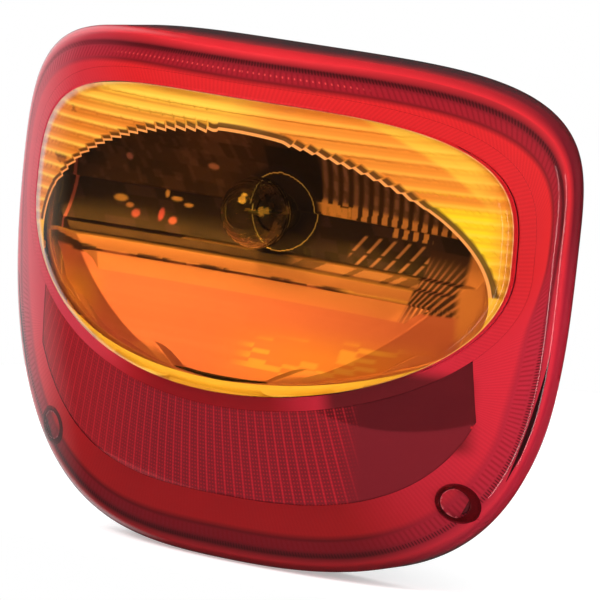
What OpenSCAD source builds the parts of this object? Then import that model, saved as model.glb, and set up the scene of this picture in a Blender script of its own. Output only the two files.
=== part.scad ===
// Rear lamp cluster of a vehicle: amber direction indicator above, red stop and tail lamp below.
// The lens faces -Y, +Z is up, and the plane of the lens rim is y = 0, centred between the four studs.

/* [Lens outline] */
// Half width of the lens at its widest line
lens_half_w = 115; // [105:1:130]
// Height of the lens above the centre of the studs
lens_top = 78; // [74:1:90]
// Depth of the lens below the centre of the studs
lens_bottom = 103.5; // [100:0.5:115]
// Height of the widest line
widest_z = 19; // [12:1:26]
// Squareness of the upper corners
top_power = 4; // [3:0.25:5]
// Squareness of the lower corners
bottom_power = 3; // [2.8:0.1:3.6]

/* [Lens dome] */
// Depth of the dome in front of the rim at the centre
dome_depth = 48.7; // [47:0.1:56]
// Depth of the dome at its left and right ends
side_depth = 5.5; // [5.2:0.1:8]
// Depth of the dome at the top edge
top_depth = 45; // [40:0.5:52]
// Depth of the dome at the bottom edge
bottom_depth = 26.5; // [25:0.5:32]
// Radius of the rolled edge between face and skirt
edge_roll = 4.3; // [3.6:0.1:5.5]
// Wall of the lens mouldings
lens_wall = 3; // [2.4:0.1:3.4]

/* [Amber window] */
// Width of the red border beside the window
window_border = 21; // [18:0.5:29]
// Height of the red border above the window
window_top_border = 20.3; // [19:0.1:26]
// Height of the red lens below the window
window_rise = 61.5; // [59.5:0.5:67]
// Squareness of the window's upper corners
window_power = 6; // [4:0.5:7]
// Width of the ribbed edge beside the clear oval
clear_inset = 2; // [1:0.5:12]
// Height of the ribbed band above the clear oval
clear_top_inset = 10.3; // [8:0.1:17]
// Spacing of the horizontal ribs inside the amber lens
rib_pitch = 4.5; // [4:0.1:6]
// Height of the horizontal ribs
rib_height = 1.2; // [0.6:0.1:1.6]
// Gap of the weld line between mouldings
weld_gap = 0.3; // [0.3:0.05:0.5]

/* [Reflex reflector] */
// Width of the red border beside the reflex insert
reflex_border = 21; // [19:0.5:31]
// Height of the red border below the reflex insert
reflex_rise = 24; // [21.5:0.5:29]
// Squareness of the insert's lower corners, which pass the lens screws
reflex_power = 3; // [2.8:0.1:3]
// Band of red lens left between window and insert
reflex_band = 5; // [4:0.5:8]
// Thickness of the reflex insert
reflex_wall = 2.5; // [2:0.1:3]
// Spacing of the upright prism ribs
prism_pitch = 3.8; // [3.4:0.1:6]
// Height of the prism ribs
prism_height = 1.2; // [0.6:0.1:1.4]

/* [Seal line] */
// Distance of the seal line from the lens's side edges
seal_side_inset = 11.6; // [10.8:0.2:13]
// Distance of the seal line from the lens's top edge
seal_top_inset = 14; // [12.5:0.5:16]
// Distance of the seal line from the lens's bottom edge
seal_bottom_inset = 10; // [9.5:0.5:13.5]
// Width of the lens seal
seal_w = 3.2; // [2.8:0.1:3.6]
// Thickness of the lens seal
seal_t = 1.5; // [1.2:0.1:1.8]
// Height of the lens tongue that presses on the seal
tongue_h = 1.2; // [0.8:0.1:1.6]
// Thickness of the lens tongue
tongue_w = 1.6; // [1.2:0.1:2.2]
// Gap left at each face of the seal
seal_gap = 0.1; // [0.05:0.05:0.2]
// Gap between the seal and the tubes of the screw recesses
seal_tube_gap = 0.8; // [0.6:0.1:1]

/* [Housing] */
// Distance of the housing's back face in front of the rim plane
back_inset = 1.5; // [1.2:0.1:1.8]
// Thickness of the housing's back plate
plate_t = 2.5; // [2:0.1:2.6]
// Gap between the housing's edge and the lens skirt
skirt_gap = 0.8; // [0.6:0.1:1.2]
// Distance of the chamber wall inside the amber window's outline
chamber_inset = 2; // [1.8:0.1:2.6]
// Thickness of the chamber wall
chamber_t = 2; // [1.6:0.1:2.4]
// Gap between the chamber wall and the amber lens
chamber_gap = 2; // [1.8:0.1:3]

/* [Lens screws] */
// Distance of each lens screw from the lens's widest line
screw_side_inset = 30.6; // [29:0.2:35]
// Height of the lens screws above the lens's bottom edge
screw_rise = 33.4; // [31.5:0.1:37.5]
// Radius of the screw recess in the lens
recess_r = 5.2; // [4.8:0.1:5.6]
// Wall of the recess tube
recess_wall = 2; // [1.6:0.1:2.2]
// Floor of the recess under the screw head
recess_floor = 2; // [1.8:0.1:2.4]
// Radius of the screw shank
screw_r = 2; // [1.6:0.1:2.2]
// Gap round the screw in the lens
screw_gap = 0.3; // [0.2:0.1:0.5]
// Gap round the screws and the studs' heads in the housing
insert_gap = 0.3; // [0.25:0.05:0.4]
// Depth of the blind hole past the screw's end
screw_spare = 1; // [0.5:0.5:2]
// Radius of the screw head
screw_head_r = 3.9; // [3.4:0.1:4.4]
// Height of the screw head
screw_head_h = 2.6; // [2.2:0.1:3]
// Depth of the cross recess in the screw head
cross_depth = 1.5; // [1:0.1:1.8]
// Length of each arm of the cross recess, end to end
cross_l = 4.8; // [4:0.2:5.2]
// Width of each arm of the cross recess
cross_w = 1; // [0.8:0.1:1.2]
// Length of the screw under its head
screw_l = 12; // [10:0.5:14]
// Wall of the boss round the screw behind the plate
boss_wall = 3; // [2:0.5:3.5]

/* [Lens hooks] */
// Distance of each top hook from the middle
hook_x = 45; // [36:1:52]
// Width of each hook
hook_w = 12; // [8:1:16]
// Reach of each hook behind the housing
hook_reach = 3.4; // [3:0.1:4.4]
// Thickness of each hook
hook_t = 1.2; // [0.9:0.1:1.3]

/* [Mounting studs] */
// Distance of each stud from the middle, sideways
stud_x = 75; // [70:1:80]
// Distance of each stud from the middle, up and down
stud_z = 40; // [36:1:44]
// Radius of the studs
stud_r = 3; // [2.5:0.5:4]
// Length of the studs behind the rim plane
stud_l = 24; // [18:1:35]
// Radius of the moulded boss round each stud
stud_boss_r = 7; // [6:0.5:8]
// Height of the boss in front of the back plate
stud_boss_h = 5; // [4:0.5:7]
// Radius of the stud's head, sunk in the boss
stud_head_r = 5.4; // [5.2:0.1:5.6]
// Thickness of the stud's head
stud_head_t = 2; // [1.5:0.1:2.4]
// Gap round each stud's shank in the housing
stud_gap = 1.2; // [1.15:0.05:1.4]

/* [Rear pad] */
// Thickness of the foam pad between lamp and vehicle
pad_t = 3; // [2:0.5:5]
// Width of the foam pad
pad_w = 7; // [5:0.5:9]

/* [Bulbs] */
// Radius of the glass bulbs
glass_r = 12.5; // [11:0.1:13]
// Radius of the glass neck
neck_r = 6.9; // [6.5:0.1:7]
// Height of the widest part of the glass above the cap
glass_belly = 21; // [19:0.5:22]
// Wall of the glass
glass_wall = 0.8; // [0.6:0.1:1]
// Height above the cap where the neck widens
glass_shoulder = 10.9; // [10.5:0.1:11.5]
// Depth of the glass neck in the cap
neck_sink = 3; // [2:0.5:4]
// Gap of cement between neck and cap
cement_gap = 0.1; // [0.05:0.05:0.15]
// Wall of the bulb cap
cap_wall = 0.5; // [0.4:0.1:0.7]
// Length of the bulb cap
cap_l = 16; // [14:0.5:17]
// Thickness of the insulating end of the cap
insulator_t = 1.5; // [1:0.1:2]
// Height of the end contact
contact_h = 1.2; // [0.8:0.1:1.6]
// Radius of one central end contact
contact_r = 2.6; // [2:0.1:3]
// Radius of each of two end contacts
twin_contact_r = 1.6; // [1.2:0.1:1.9]
// Radius of the bayonet pins
pin_r = 1; // [0.8:0.1:1.1]
// Reach of the bayonet pins
pin_l = 1.2; // [1:0.1:1.4]
// Distance of the bayonet pins below the cap's edge
pin_drop = 6; // [5:0.5:8]
// Radius of the filament coil
filament_r = 0.6; // [0.4:0.05:0.8]
// Length of the filament coil
filament_l = 4; // [3:0.5:4.5]
// Height of the filament above the cap
filament_h = 22; // [20:0.5:23]
// Drop of the second filament of the twin bulb
twin_drop = 4; // [3:0.5:6]
// Distance of each twin filament from the bulb's middle plane
twin_offset = 0.9; // [0.8:0.1:1]
// Radius of the wires that carry the filament
lead_r = 0.35; // [0.25:0.05:0.4]
// Height of the glass stem inside the bulb
stem_h = 9; // [7:0.5:11]
// Radius of the glass stem
stem_r = 2.8; // [2.7:0.1:3.2]

/* [Bulb places] */
// Height of the indicator bulb
indicator_z = 19; // [18:1:22]
// Height of the stop and tail bulb above the lens's bottom edge
stop_rise = 37.5; // [36.5:0.5:38.5]
// Distance of the indicator bulb's cap edge behind the rim plane
indicator_y = -4; // [-5:0.5:-3]
// Gap between the stop and tail bulb's glass and the reflex insert
stop_bulb_gap = 2.3; // [2:0.1:4]

/* [Bulb sockets] */
// Gap between cap and socket sleeve
socket_gap = 0.3; // [0.25:0.05:0.35]
// Wall of the socket sleeve
sleeve_wall = 0.5; // [0.4:0.1:0.6]
// Width of the sleeve's flange
sleeve_flange = 2; // [1.6:0.1:2.4]
// Gap between sleeve and pot for the feed strips
pot_gap = 2.4; // [2.2:0.1:3]
// Wall of the moulded pots behind the plate
pot_wall = 2.2; // [1.8:0.1:2.6]
// Depth of the pots below the end contact
pot_depth = 3; // [2.8:0.1:4]

/* [Contact strips] */
// Width of the brass strips
strip_w = 4; // [3:0.5:4.5]
// Thickness of the brass strips
strip_t = 0.8; // [0.6:0.1:0.8]
// Width of the contact leaves in the pots
leaf_w = 2.4; // [2:0.1:2.8]
// Room between a strip and the earthed metal beside it
strip_room = 1; // [0.8:0.1:1.2]
// Spacing of the connector blades
blade_pitch = 6.5; // [6.5:0.1:7]
// Height of the row of blades
blade_z = -12; // [-13:1:-9]
// Length of the blades behind the back plate
blade_l = 9; // [7:0.5:10]
// Overlap of the earth ring on the plate round the pot
ring_w = 2; // [1.6:0.1:2.4]
// Gap round each blade in its slot
slot_gap = 0.1; // [0.05:0.05:0.2]
// Wall of the connector shroud
shroud_wall = 1.8; // [1.5:0.1:2.2]
// Reach of the shroud past the blades
shroud_over = 3; // [2:0.5:4]
// Room between the outer blades and the ends of the shroud
shroud_room = 3; // [2.5:0.1:3.6]
// Room above and below the blades for the plug
plug_room = 5; // [4.8:0.1:6]

/* [Reflectors] */
// Wall of the metallised reflectors
reflector_wall = 1.8; // [1.4:0.1:2]
// Rise of the reflectors from the middle to their ends
reflector_side_rise = 7; // [5:0.5:8]
// Rise of the reflectors from the middle to their upper edges
reflector_bowl_rise = 24; // [16:1:26]
// Height of the indicator reflector's shelf, where the bowl meets the floor
shelf_z = -3.5; // [-5:0.5:-2.5]
// Height of the ledge above the centre of the studs
ledge_top = 1; // [-0.5:0.5:2]
// Reach of the ledge in front of the bowl
ledge_reach = 2; // [1:0.5:3]
// Lower edge of the sunk band
band_low = 5; // [4:0.5:7]
// Upper edge of the sunk band
band_high = 20; // [18.5:0.5:21.5]
// Depth of the sunk band
band_depth = 2; // [0.5:0.5:2]
// Height of the slope at each step of the bowl
step_slope = 0.4; // [0.3:0.1:0.5]
// Rise of the floor below the shelf for each millimetre
floor_slope = 0.5; // [0.4:0.05:0.6]
// Distance of the indicator reflector's edge inside the chamber wall
indicator_reflector_inset = 2; // [1.5:0.5:4]
// Distance of the stop and tail reflector's ends from the lens's widest line
stop_reflector_inset = 47; // [45:1:53]
// Height of the stop and tail reflector's lower edge above the lens's bottom edge
stop_reflector_rise = 17.5; // [16.5:0.5:20.5]
// Distance of the stop and tail reflector below the window's outline
stop_reflector_drop = 5; // [4:0.5:6]
// Gap between reflector and bulb glass
bulb_gap = 1.2; // [1:0.1:2]
// Distance of the reflectors' floor in front of the back plate
reflector_lift = 5; // [4:0.5:6]
// Gap between reflectors and lenses
reflector_gap = 4; // [3:0.5:5]
// Radius of the pegs that carry the reflectors
peg_r = 2.5; // [2:0.1:3]
// Height of the stop and tail reflector's pegs above its bulb
stop_peg_rise = 12; // [10:1:13]
// Distance of the outer pegs from the stop and tail reflector's ends
peg_end_inset = 6; // [4:1:8]
// Spacing of the inner and outer pegs
peg_step = 30; // [26:1:32]

/* [Vent] */
// Radius of the vent hole
vent_r = 2; // [1.5:0.1:2.5]
// Radius of the membrane patch over the vent
vent_patch_r = 6; // [5:0.5:7]
// Thickness of the membrane patch
vent_patch_t = 0.6; // [0.4:0.1:0.8]
// Distance of the vent from the middle
vent_x = 45; // [40:1:50]

/* [Hidden] */

ring_steps = 84;
round_fn = 64;
small_fn = 32;
eps = 0.01;

red = [0.78, 0.06, 0.12];
amber = [0.98, 0.5, 0.06];
plum = [0.5, 0.08, 0.2];
black = [0.12, 0.12, 0.13];
silver = [0.8, 0.8, 0.82];
clear = [0.85, 0.92, 0.95];
brass = [0.8, 0.62, 0.25];
steel = [0.6, 0.62, 0.64];

// Edges and places that follow from the lens outline
window_half_w = lens_half_w - window_border;
window_top = lens_top - window_top_border;
window_bottom = lens_bottom - window_rise;
clear_half_w = window_half_w - clear_inset;
clear_top = window_top - clear_top_inset;
reflex_half_w = lens_half_w - reflex_border;
reflex_bottom = lens_bottom - reflex_rise;
seal_half_w = lens_half_w - seal_side_inset;
seal_top = lens_top - seal_top_inset;
seal_bottom = lens_bottom - seal_bottom_inset;
screw_x = lens_half_w - screw_side_inset;
screw_z = screw_rise - lens_bottom;
stop_z = stop_rise - lens_bottom;
stop_reflector_w = lens_half_w - stop_reflector_inset;
stop_reflector_bottom = lens_bottom - stop_reflector_rise;
stop_peg_z = stop_z + stop_peg_rise;

// Depths that follow from the sizes above
plate_back = -back_inset;
plate_front = -back_inset - plate_t;
side_fall = (dome_depth - side_depth) / pow(lens_half_w, 2);
dome_bend = ((top_depth - dome_depth) / lens_top + (bottom_depth - dome_depth) / lens_bottom)
    / (lens_top + lens_bottom);
dome_lean = (top_depth - dome_depth) / lens_top - dome_bend * lens_top;
cap_r = neck_r + cement_gap + cap_wall;
sleeve_r = cap_r + socket_gap + sleeve_wall;
pot_r = sleeve_r + pot_gap;
blade_x = [for (i = [-1.5:1:1.5]) i * blade_pitch];
screw_seat = plate_front - recess_floor;
screw_end = screw_seat + screw_l;
strip_front = plate_front - strip_t;
ring_r = pot_r + ring_w;
shroud_w = 3 * blade_pitch + strip_w + 2 * shroud_room;
shroud_h = strip_t + 2 * plug_room;

// Distance of the stop and tail bulb's cap edge behind the rim plane, set by the lens in front of it
stop_y = glass_belly + glass_r + stop_bulb_gap
    - under([0, stop_z], lens_wall + weld_gap + reflex_wall + prism_height);

// Radius at angle t, clockwise from the top, of a superellipse with unlike upper and lower halves
function blob(a, up, down, power_up, power_down, t) =
    let (s = abs(sin(t)), c = abs(cos(t)), b = cos(t) >= 0 ? up : down,
        p = cos(t) >= 0 ? power_up : power_down)
    pow(pow(s / a, p) + pow(c / b, p), -1 / p);

// Point [x, z] of the lens outline, moved inwards by g
function edge_xz(t, g) =
    let (r = blob(lens_half_w - g, lens_top - widest_z - g, lens_bottom + widest_z - g,
        top_power, bottom_power, t))
    [r * sin(t), widest_z + r * cos(t)];

// Point [x, z] of the amber window's outline, moved outwards by g
function window_xz(t, g) =
    let (r = blob(window_half_w + g, window_top + g, window_bottom + g, window_power, 2, t))
    [r * sin(t), r * cos(t)];

// The seal line runs round the inner side of each lens screw
screw_t = atan2(screw_x, screw_z - widest_z);
screw_reach = norm([screw_x, screw_z - widest_z]);
function seal_free_r(t) = blob(seal_half_w, seal_top - widest_z, seal_bottom + widest_z,
    top_power, bottom_power, t);
seal_dent = max(0, seal_free_r(screw_t) - screw_reach + recess_r + recess_wall + seal_w / 2
    + seal_tube_gap);
function seal_xz(t, g) =
    let (away = min(abs(t - screw_t), abs(360 - t - screw_t)),
        r = seal_free_r(t) - seal_dent * exp(-pow(away / 8, 2)) + g)
    [r * sin(t), widest_z + r * cos(t)];

// Depth of the dome, and of a skin that lies t below it, measured square to the dome
function dome(p) = dome_depth + dome_lean * p[1] + dome_bend * pow(p[1], 2) - side_fall * pow(p[0], 2);
function under(p, t) =
    dome(p) - t * norm([1, 2 * side_fall * p[0], dome_lean + 2 * dome_bend * p[1]]);
function at(p, depth) = [p[0], -depth, p[1]];
function mix(p, q, f) = p * (1 - f) + q * f;
function roll(g) = edge_roll * (1 - sqrt(max(0, 1 - pow(max(0, 1 - g / edge_roll), 2))));

// Skin over a loop of rings, each a closed ring of points, listed from the front outwards
module ring_skin(rings) {
    m = len(rings);
    n = len(rings[0]);
    faces = [for (i = [0:m - 1], j = [0:n - 1])
        let (i2 = (i + 1) % m, j2 = (j + 1) % n, a = i * n + j, b = i * n + j2,
            c = i2 * n + j2, d = i2 * n + j)
        each [[a, d, c], [a, c, b]]];
    polyhedron([for (ring = rings) each ring], faces);
}

// Skin over a front grid and a back grid of points, rows upwards and columns to the right
module slab_skin(front, back) {
    rows = len(front);
    cols = len(front[0]);
    n = rows * cols;
    face = [for (j = [0:rows - 2], i = [0:cols - 2])
        let (a = j * cols + i, b = a + 1, d = a + cols, c = d + 1)
        each [[a, d, c], [a, c, b], [n + a, n + b, n + c], [n + a, n + c, n + d]]];
    ends = [for (i = [0:cols - 2])
        let (a = i, b = i + 1, d = (rows - 1) * cols + i, c = d + 1)
        each [[a, b, n + b], [a, n + b, n + a], [c, d, n + d], [c, n + d, n + c]]];
    sides = [for (j = [0:rows - 2])
        let (a = j * cols, d = a + cols, b = a + cols - 1, c = b + cols)
        each [[d, a, n + a], [d, n + a, n + d], [b, c, n + c], [b, n + c, n + b]]];
    polyhedron([for (row = front) each row, for (row = back) each row], concat(face, ends, sides));
}

// Places a child that stands up along +Z so that it points forwards from [x, y, z]
module forward(x, y, z) {
    translate([x, y, z]) rotate([90, 0, 0]) children();
}

module both_sides() {
    children();
    mirror([1, 0, 0]) children();
}

steps = [for (j = [0:ring_steps - 1]) j * 360 / ring_steps];

module red_shell() {
    face_part = [for (f = [0, 0.35, 0.7, 1])
        [for (t = steps)
            let (p = mix(window_xz(t, weld_gap), edge_xz(t, edge_roll), f))
            at(p, dome(p))]];
    roll_part = [for (g = [2.2, 0.9, 0.25, 0])
        [for (t = steps) let (p = edge_xz(t, g)) at(p, dome(p) - roll(g))]];
    rim = [for (g = [0, lens_wall]) [for (t = steps) at(edge_xz(t, g), 0)]];
    inner_edge = [[for (t = steps)
        let (p = edge_xz(t, lens_wall)) at(p, under(p, lens_wall) - roll(lens_wall))]];
    tongue = [for (s = [[0.5, 0], [0.5, 1], [-0.5, 1], [-0.5, 0]])
        [for (t = steps)
            let (p = seal_xz(t, s[0] * tongue_w), mid = seal_xz(t, 0))
            at(p, s[1] == 0 ? under(p, lens_wall) : under(mid, lens_wall) - tongue_h)]];
    inner_part = [for (f = [0.6, 0.3, 0])
        [for (t = steps)
            let (p = mix(window_xz(t, weld_gap), seal_xz(t, -tongue_w), f))
            at(p, under(p, lens_wall))]];
    ring_skin(concat(face_part, roll_part, rim, inner_edge, tongue, inner_part));
}

// Closed tube of the screw recess, its top inside the wall of the lens
module recess_tube() {
    r = recess_r + recess_wall;
    round = [for (j = [0:small_fn - 1]) j * 360 / small_fn];
    function place(t, k) = [screw_x + k * r * sin(t), screw_z + k * r * cos(t)];
    front = [for (k = [eps, 1])
        [for (t = round) let (p = place(t, k)) at(p, under(p, lens_wall / 2))]];
    foot = [for (k = [1, eps]) [for (t = round) at(place(t, k), -plate_front)]];
    ring_skin(concat(front, foot));
}

module hook() {
    z_top = edge_xz(0, lens_wall)[1] + lens_wall / 2;
    z_low = edge_xz(0, lens_wall)[1] - skirt_gap - hook_reach;
    translate([hook_x - hook_w / 2, plate_back + back_inset - hook_t, z_low])
        cube([hook_w, hook_t, z_top - z_low]);
}

module red_lens() color(red) {
    difference() {
        union() {
            red_shell();
            both_sides() {
                recess_tube();
                hook();
            }
        }
        both_sides() {
            forward(screw_x, screw_seat, screw_z)
                cylinder(r = recess_r, h = dome_depth, $fn = round_fn);
            forward(screw_x, 0, screw_z)
                cylinder(r = screw_r + screw_gap, h = dome_depth, $fn = small_fn);
        }
    }
}

// Half width of the amber lens at a height z
function window_w(z) =
    let (b = (z >= 0 ? window_top : window_bottom), p = (z >= 0 ? window_power : 2))
    window_half_w * pow(max(0, 1 - pow(abs(z) / b, p)), 1 / p);

// The ribs are saw-toothed, and stop at the clear oval
function in_clear(p) = p[1] > 0 && pow(p[0] / clear_half_w, 2) + pow(p[1] / clear_top, 2) < 1;

module amber_lens() {
    rib_count = floor((window_top + window_bottom - 1) / rib_pitch);
    z_low = -window_bottom + 0.4;
    span = window_top + window_bottom - 0.8;
    rows = [for (k = [0:rib_count - 1], s = [[0, 0], [0.85, 1]])
        [z_low + (k + s[0]) * span / rib_count, s[1]], [z_low + span, 0]];
    cols = 18;
    function place(row, i) = [window_w(row[0]) * sin(90 * (2 * i / cols - 1)), row[0]];
    front = [for (row = rows) [for (i = [0:cols]) let (p = place(row, i)) at(p, dome(p))]];
    back = [for (row = rows) [for (i = [0:cols])
        let (p = place(row, i), rib = in_clear(p) ? 0 : row[1] * rib_height)
        at(p, under(p, lens_wall + rib))]];
    color(amber) slab_skin(front, back);
}

// Edges of the reflex insert at a distance x from the middle
function reflex_low(x) = widest_z - (reflex_bottom + widest_z)
    * pow(max(0, 1 - pow(abs(x) / (reflex_half_w + 4), reflex_power)), 1 / reflex_power);
function reflex_high(x) = -(window_bottom + reflex_band)
    * sqrt(max(0, 1 - pow(x / (window_half_w + reflex_band + 4), 2)));

module reflex_insert() {
    count = 2 * floor(reflex_half_w / prism_pitch);
    rows = 5;
    function place(j, i) = let (x = reflex_half_w * (i / count - 1))
        [x, reflex_low(x) + (reflex_high(x) - reflex_low(x)) * j / rows];
    front = [for (j = [0:rows]) [for (i = [0:2 * count])
        let (p = place(j, i)) at(p, under(p, lens_wall + weld_gap))]];
    back = [for (j = [0:rows]) [for (i = [0:2 * count])
        let (p = place(j, i))
        at(p, under(p, lens_wall + weld_gap + reflex_wall + (i % 2) * prism_height))]];
    color(plum) slab_skin(front, back);
}

// Depth of the seal's front face round the seal line
function seal_face(t) = under(seal_xz(t, 0), lens_wall) - tongue_h - seal_gap;

module seal_ring(depth_front, depth_back, w) {
    ring_skin([for (s = [[-0.5, 0], [0.5, 0], [0.5, 1], [-0.5, 1]])
        [for (t = steps) at(seal_xz(t, s[0] * w),
            s[1] == 0 ? seal_face(t) - depth_front : (depth_back == 0
                ? seal_face(t) - depth_front - seal_t : depth_back))]]);
}

module lens_seal() color(black) seal_ring(0, 0, seal_w);

module housing_plate() {
    translate([0, plate_back, 0]) rotate([90, 0, 0])
        linear_extrude(plate_t)
            polygon([for (t = steps) edge_xz(t, lens_wall + skirt_gap)]);
}

// Wall of the indicator's chamber, which follows the outline of the amber window
module chamber_wall() {
    function wall_xz(t, w) = window_xz(t, -chamber_inset - w);
    ring_skin([for (s = [[chamber_t, 0], [0, 0], [0, 1], [chamber_t, 1]])
        [for (t = steps)
            at(wall_xz(t, s[0]), s[1] == 1 ? -plate_front - plate_t / 2
                : under(wall_xz(t, 0), lens_wall + rib_height) - chamber_gap)]]);
}

// Depth of the end of a bulb whose cap starts at y
function bulb_end(y) = y + cap_l + insulator_t + contact_h;

// Moulded pot behind the plate that takes a bulb socket
module pot(y, z) {
    floor_y = bulb_end(y) + pot_depth;
    forward(0, floor_y + pot_wall, z)
        cylinder(r = pot_r + pot_wall, h = floor_y + pot_wall - plate_front - eps, $fn = round_fn);
}

module pot_bore(y, z) {
    floor_y = bulb_end(y) + pot_depth;
    forward(0, floor_y, z) cylinder(r = pot_r, h = floor_y - plate_front + 1, $fn = round_fn);
}

// Box centred on [x, z] that reaches from y0 back to y1
module box_back(x, z, w, h, y0, y1) {
    translate([x - w / 2, y0, z - h / 2]) cube([w, y1 - y0, h]);
}

module shroud() {
    back = plate_back + blade_l + shroud_over;
    difference() {
        box_back(0, blade_z, shroud_w + 2 * shroud_wall, shroud_h + 2 * shroud_wall,
            plate_back - plate_t / 2, back);
        box_back(0, blade_z, shroud_w, shroud_h, plate_back, back + 1);
    }
}

module at_studs() {
    for (x = [-stud_x, stud_x], z = [-stud_z, stud_z])
        translate([x, 0, z]) children();
}

// Channel that lets a strip pass under the chamber wall
module strip_channel(x) {
    box_back(x, -window_bottom + chamber_inset + chamber_t / 2, strip_w + 1, 3 * chamber_t,
        strip_front - slot_gap, plate_front);
}

module housing() color(black) {
    difference() {
        union() {
            housing_plate();
            seal_ring(seal_t + seal_gap, -plate_front - plate_t / 2, seal_w);
            chamber_wall();
            pot(indicator_y, indicator_z);
            pot(stop_y, stop_z);
            shroud();
            at_studs() forward(0, plate_front + eps, 0)
                cylinder(r = stud_boss_r, h = stud_boss_h + eps, $fn = round_fn);
            for (x = [-screw_x, screw_x])
                forward(x, screw_end + screw_spare + boss_wall / 2, screw_z)
                    cylinder(r = screw_r + boss_wall,
                        h = screw_end + screw_spare + boss_wall / 2 - plate_back + eps, $fn = round_fn);
        }
        pot_bore(indicator_y, indicator_z);
        pot_bore(stop_y, stop_z);
        for (x = blade_x)
            box_back(x, blade_z, strip_w + 2 * slot_gap, strip_t + 2 * slot_gap,
                plate_front - 1, plate_back + 1);
        for (i = [0, 1, 2]) strip_channel(blade_x[i]);
        at_studs() {
            forward(0, 1, 0) cylinder(r = stud_r + stud_gap, h = dome_depth, $fn = round_fn);
            forward(0, plate_front - stud_boss_h + stud_head_t, 0)
                cylinder(r = stud_head_r + insert_gap, h = dome_depth, $fn = round_fn);
        }
        for (x = [-screw_x, screw_x])
            forward(x, screw_end + screw_spare, screw_z)
                cylinder(r = screw_r + insert_gap, h = dome_depth, $fn = small_fn);
        forward(vent_x, 0, blade_z) cylinder(r = vent_r, h = dome_depth, $fn = small_fn);
    }
}

// Metallised skin over a grid of points [x, z] with its depths, open round the bulb at height z0
module reflector(grid, depths, z0, pegs) {
    hole = glass_r + bulb_gap;
    function skin(back) = [for (j = [0:len(grid) - 1]) [for (i = [0:len(grid[0]) - 1])
        at(grid[j][i], depths[j][i] - back)]];
    difference() {
        union() {
            slab_skin(skin(0), skin(reflector_wall));
            for (peg = pegs) forward(peg[0], plate_front, peg[1])
                cylinder(r = peg_r, h = peg[2] - reflector_wall / 2 + plate_front, $fn = small_fn);
        }
        forward(0, 0, z0) cylinder(r = hole, h = dome_depth, $fn = round_fn);
    }
}

function floor_depth(x, w) = -plate_front + reflector_lift + reflector_side_rise * pow(x / w, 2);
function peg_places() = [for (x = [-1, 1], k = [0, 1])
    x * (stop_reflector_w - peg_end_inset - k * peg_step)];

// Steps of the bowl: the ledge stands out and the band is sunk
function tier_step(z) =
    z >= shelf_z && z <= ledge_top ? ledge_reach : (z >= band_low && z <= band_high ? -band_depth : 0);

// Bowl above the shelf, and a floor below it that rises towards the lens
function indicator_depth(p) =
    let (top = window_top - indicator_z, low = (min(p[1], shelf_z) - shelf_z) * floor_slope)
    min(under(p, lens_wall + rib_height) - reflector_gap,
        floor_depth(p[0], window_half_w)
            + reflector_bowl_rise * pow((max(p[1], shelf_z) - indicator_z) / top, 2)
            + tier_step(p[1]) - low);

module indicator_reflector() color(silver) {
    inset = chamber_inset + chamber_t + indicator_reflector_inset;
    low = -window_bottom + inset + 0.5;
    top = window_top - inset - 0.5;
    heights = concat([for (k = [0:4]) low + (shelf_z - step_slope - low) * k / 4],
        [shelf_z, ledge_top, ledge_top + step_slope, band_low - step_slope, band_low,
            (band_low + band_high) / 2, band_high],
        [for (k = [0:5]) band_high + step_slope + (top - band_high - step_slope) * k / 5]);
    grid = [for (z = heights) [for (i = [0:18])
        [(window_w(z * (1 + inset / window_bottom)) - inset) * sin(90 * (i / 9 - 1)), z]]];
    depths = [for (row = grid) [for (p = row) indicator_depth(p)]];
    reflector(grid, depths, indicator_z,
        [for (x = peg_places()) [x, indicator_z, indicator_depth([x, indicator_z])]]);
}

// Edges and depth of the stop and tail reflector, between the chamber wall and the seal
function stop_low(x) = widest_z - (stop_reflector_bottom + widest_z)
    * pow(1 - pow(abs(x) / (stop_reflector_w + 12), 3), 1 / 3);
function stop_high(x) = -(window_bottom + stop_reflector_drop)
    * sqrt(1 - pow(x / (window_half_w + stop_reflector_drop), 2));
function stop_depth(p) =
    min(under(p, lens_wall + weld_gap + reflex_wall + prism_height) - reflector_gap,
        floor_depth(p[0], window_half_w)
            + reflector_bowl_rise * pow((p[1] - stop_z) / (window_bottom + stop_z), 2));

module stop_tail_reflector() color(silver) {
    grid = [for (j = [0:8]) [for (i = [0:20])
        let (x = stop_reflector_w * (i / 10 - 1))
        [x, stop_low(x) + (stop_high(x) - stop_low(x)) * j / 8]]];
    depths = [for (row = grid) [for (p = row) stop_depth(p)]];
    reflector(grid, depths, stop_z,
        [for (x = peg_places()) [x, stop_peg_z, stop_depth([x, stop_peg_z])]]);
}

// Glass of a bulb: a globe drawn down to a neck, with a stem inside; the cap's edge is z = 0
module bulb_glass() {
    function arc(r) = [for (a = [-36:9:90]) [r * cos(a), glass_belly + r * sin(a)]];
    outer = arc(glass_r);
    inner = arc(glass_r - glass_wall);
    rotate_extrude($fn = round_fn) polygon(concat(
        [[0, -neck_sink], [neck_r, -neck_sink], [neck_r, glass_shoulder]], outer,
        [for (i = [len(inner) - 1:-1:0]) inner[i]],
        [[neck_r - glass_wall, glass_shoulder], [neck_r - glass_wall, -neck_sink + glass_wall],
            [stem_r, -neck_sink + glass_wall], [stem_r, stem_h], [0, stem_h]]));
}

// Coil between two wires, at height h and distance d from the middle plane
module filament(h, d) {
    translate([-filament_l / 2 - lead_r, d, h]) rotate([0, 90, 0])
        cylinder(r = filament_r, h = filament_l + 2 * lead_r, $fn = small_fn);
    for (x = [-filament_l / 2, filament_l / 2])
        translate([x, d, stem_h]) cylinder(r = lead_r, h = h - stem_h, $fn = small_fn);
}

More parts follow.
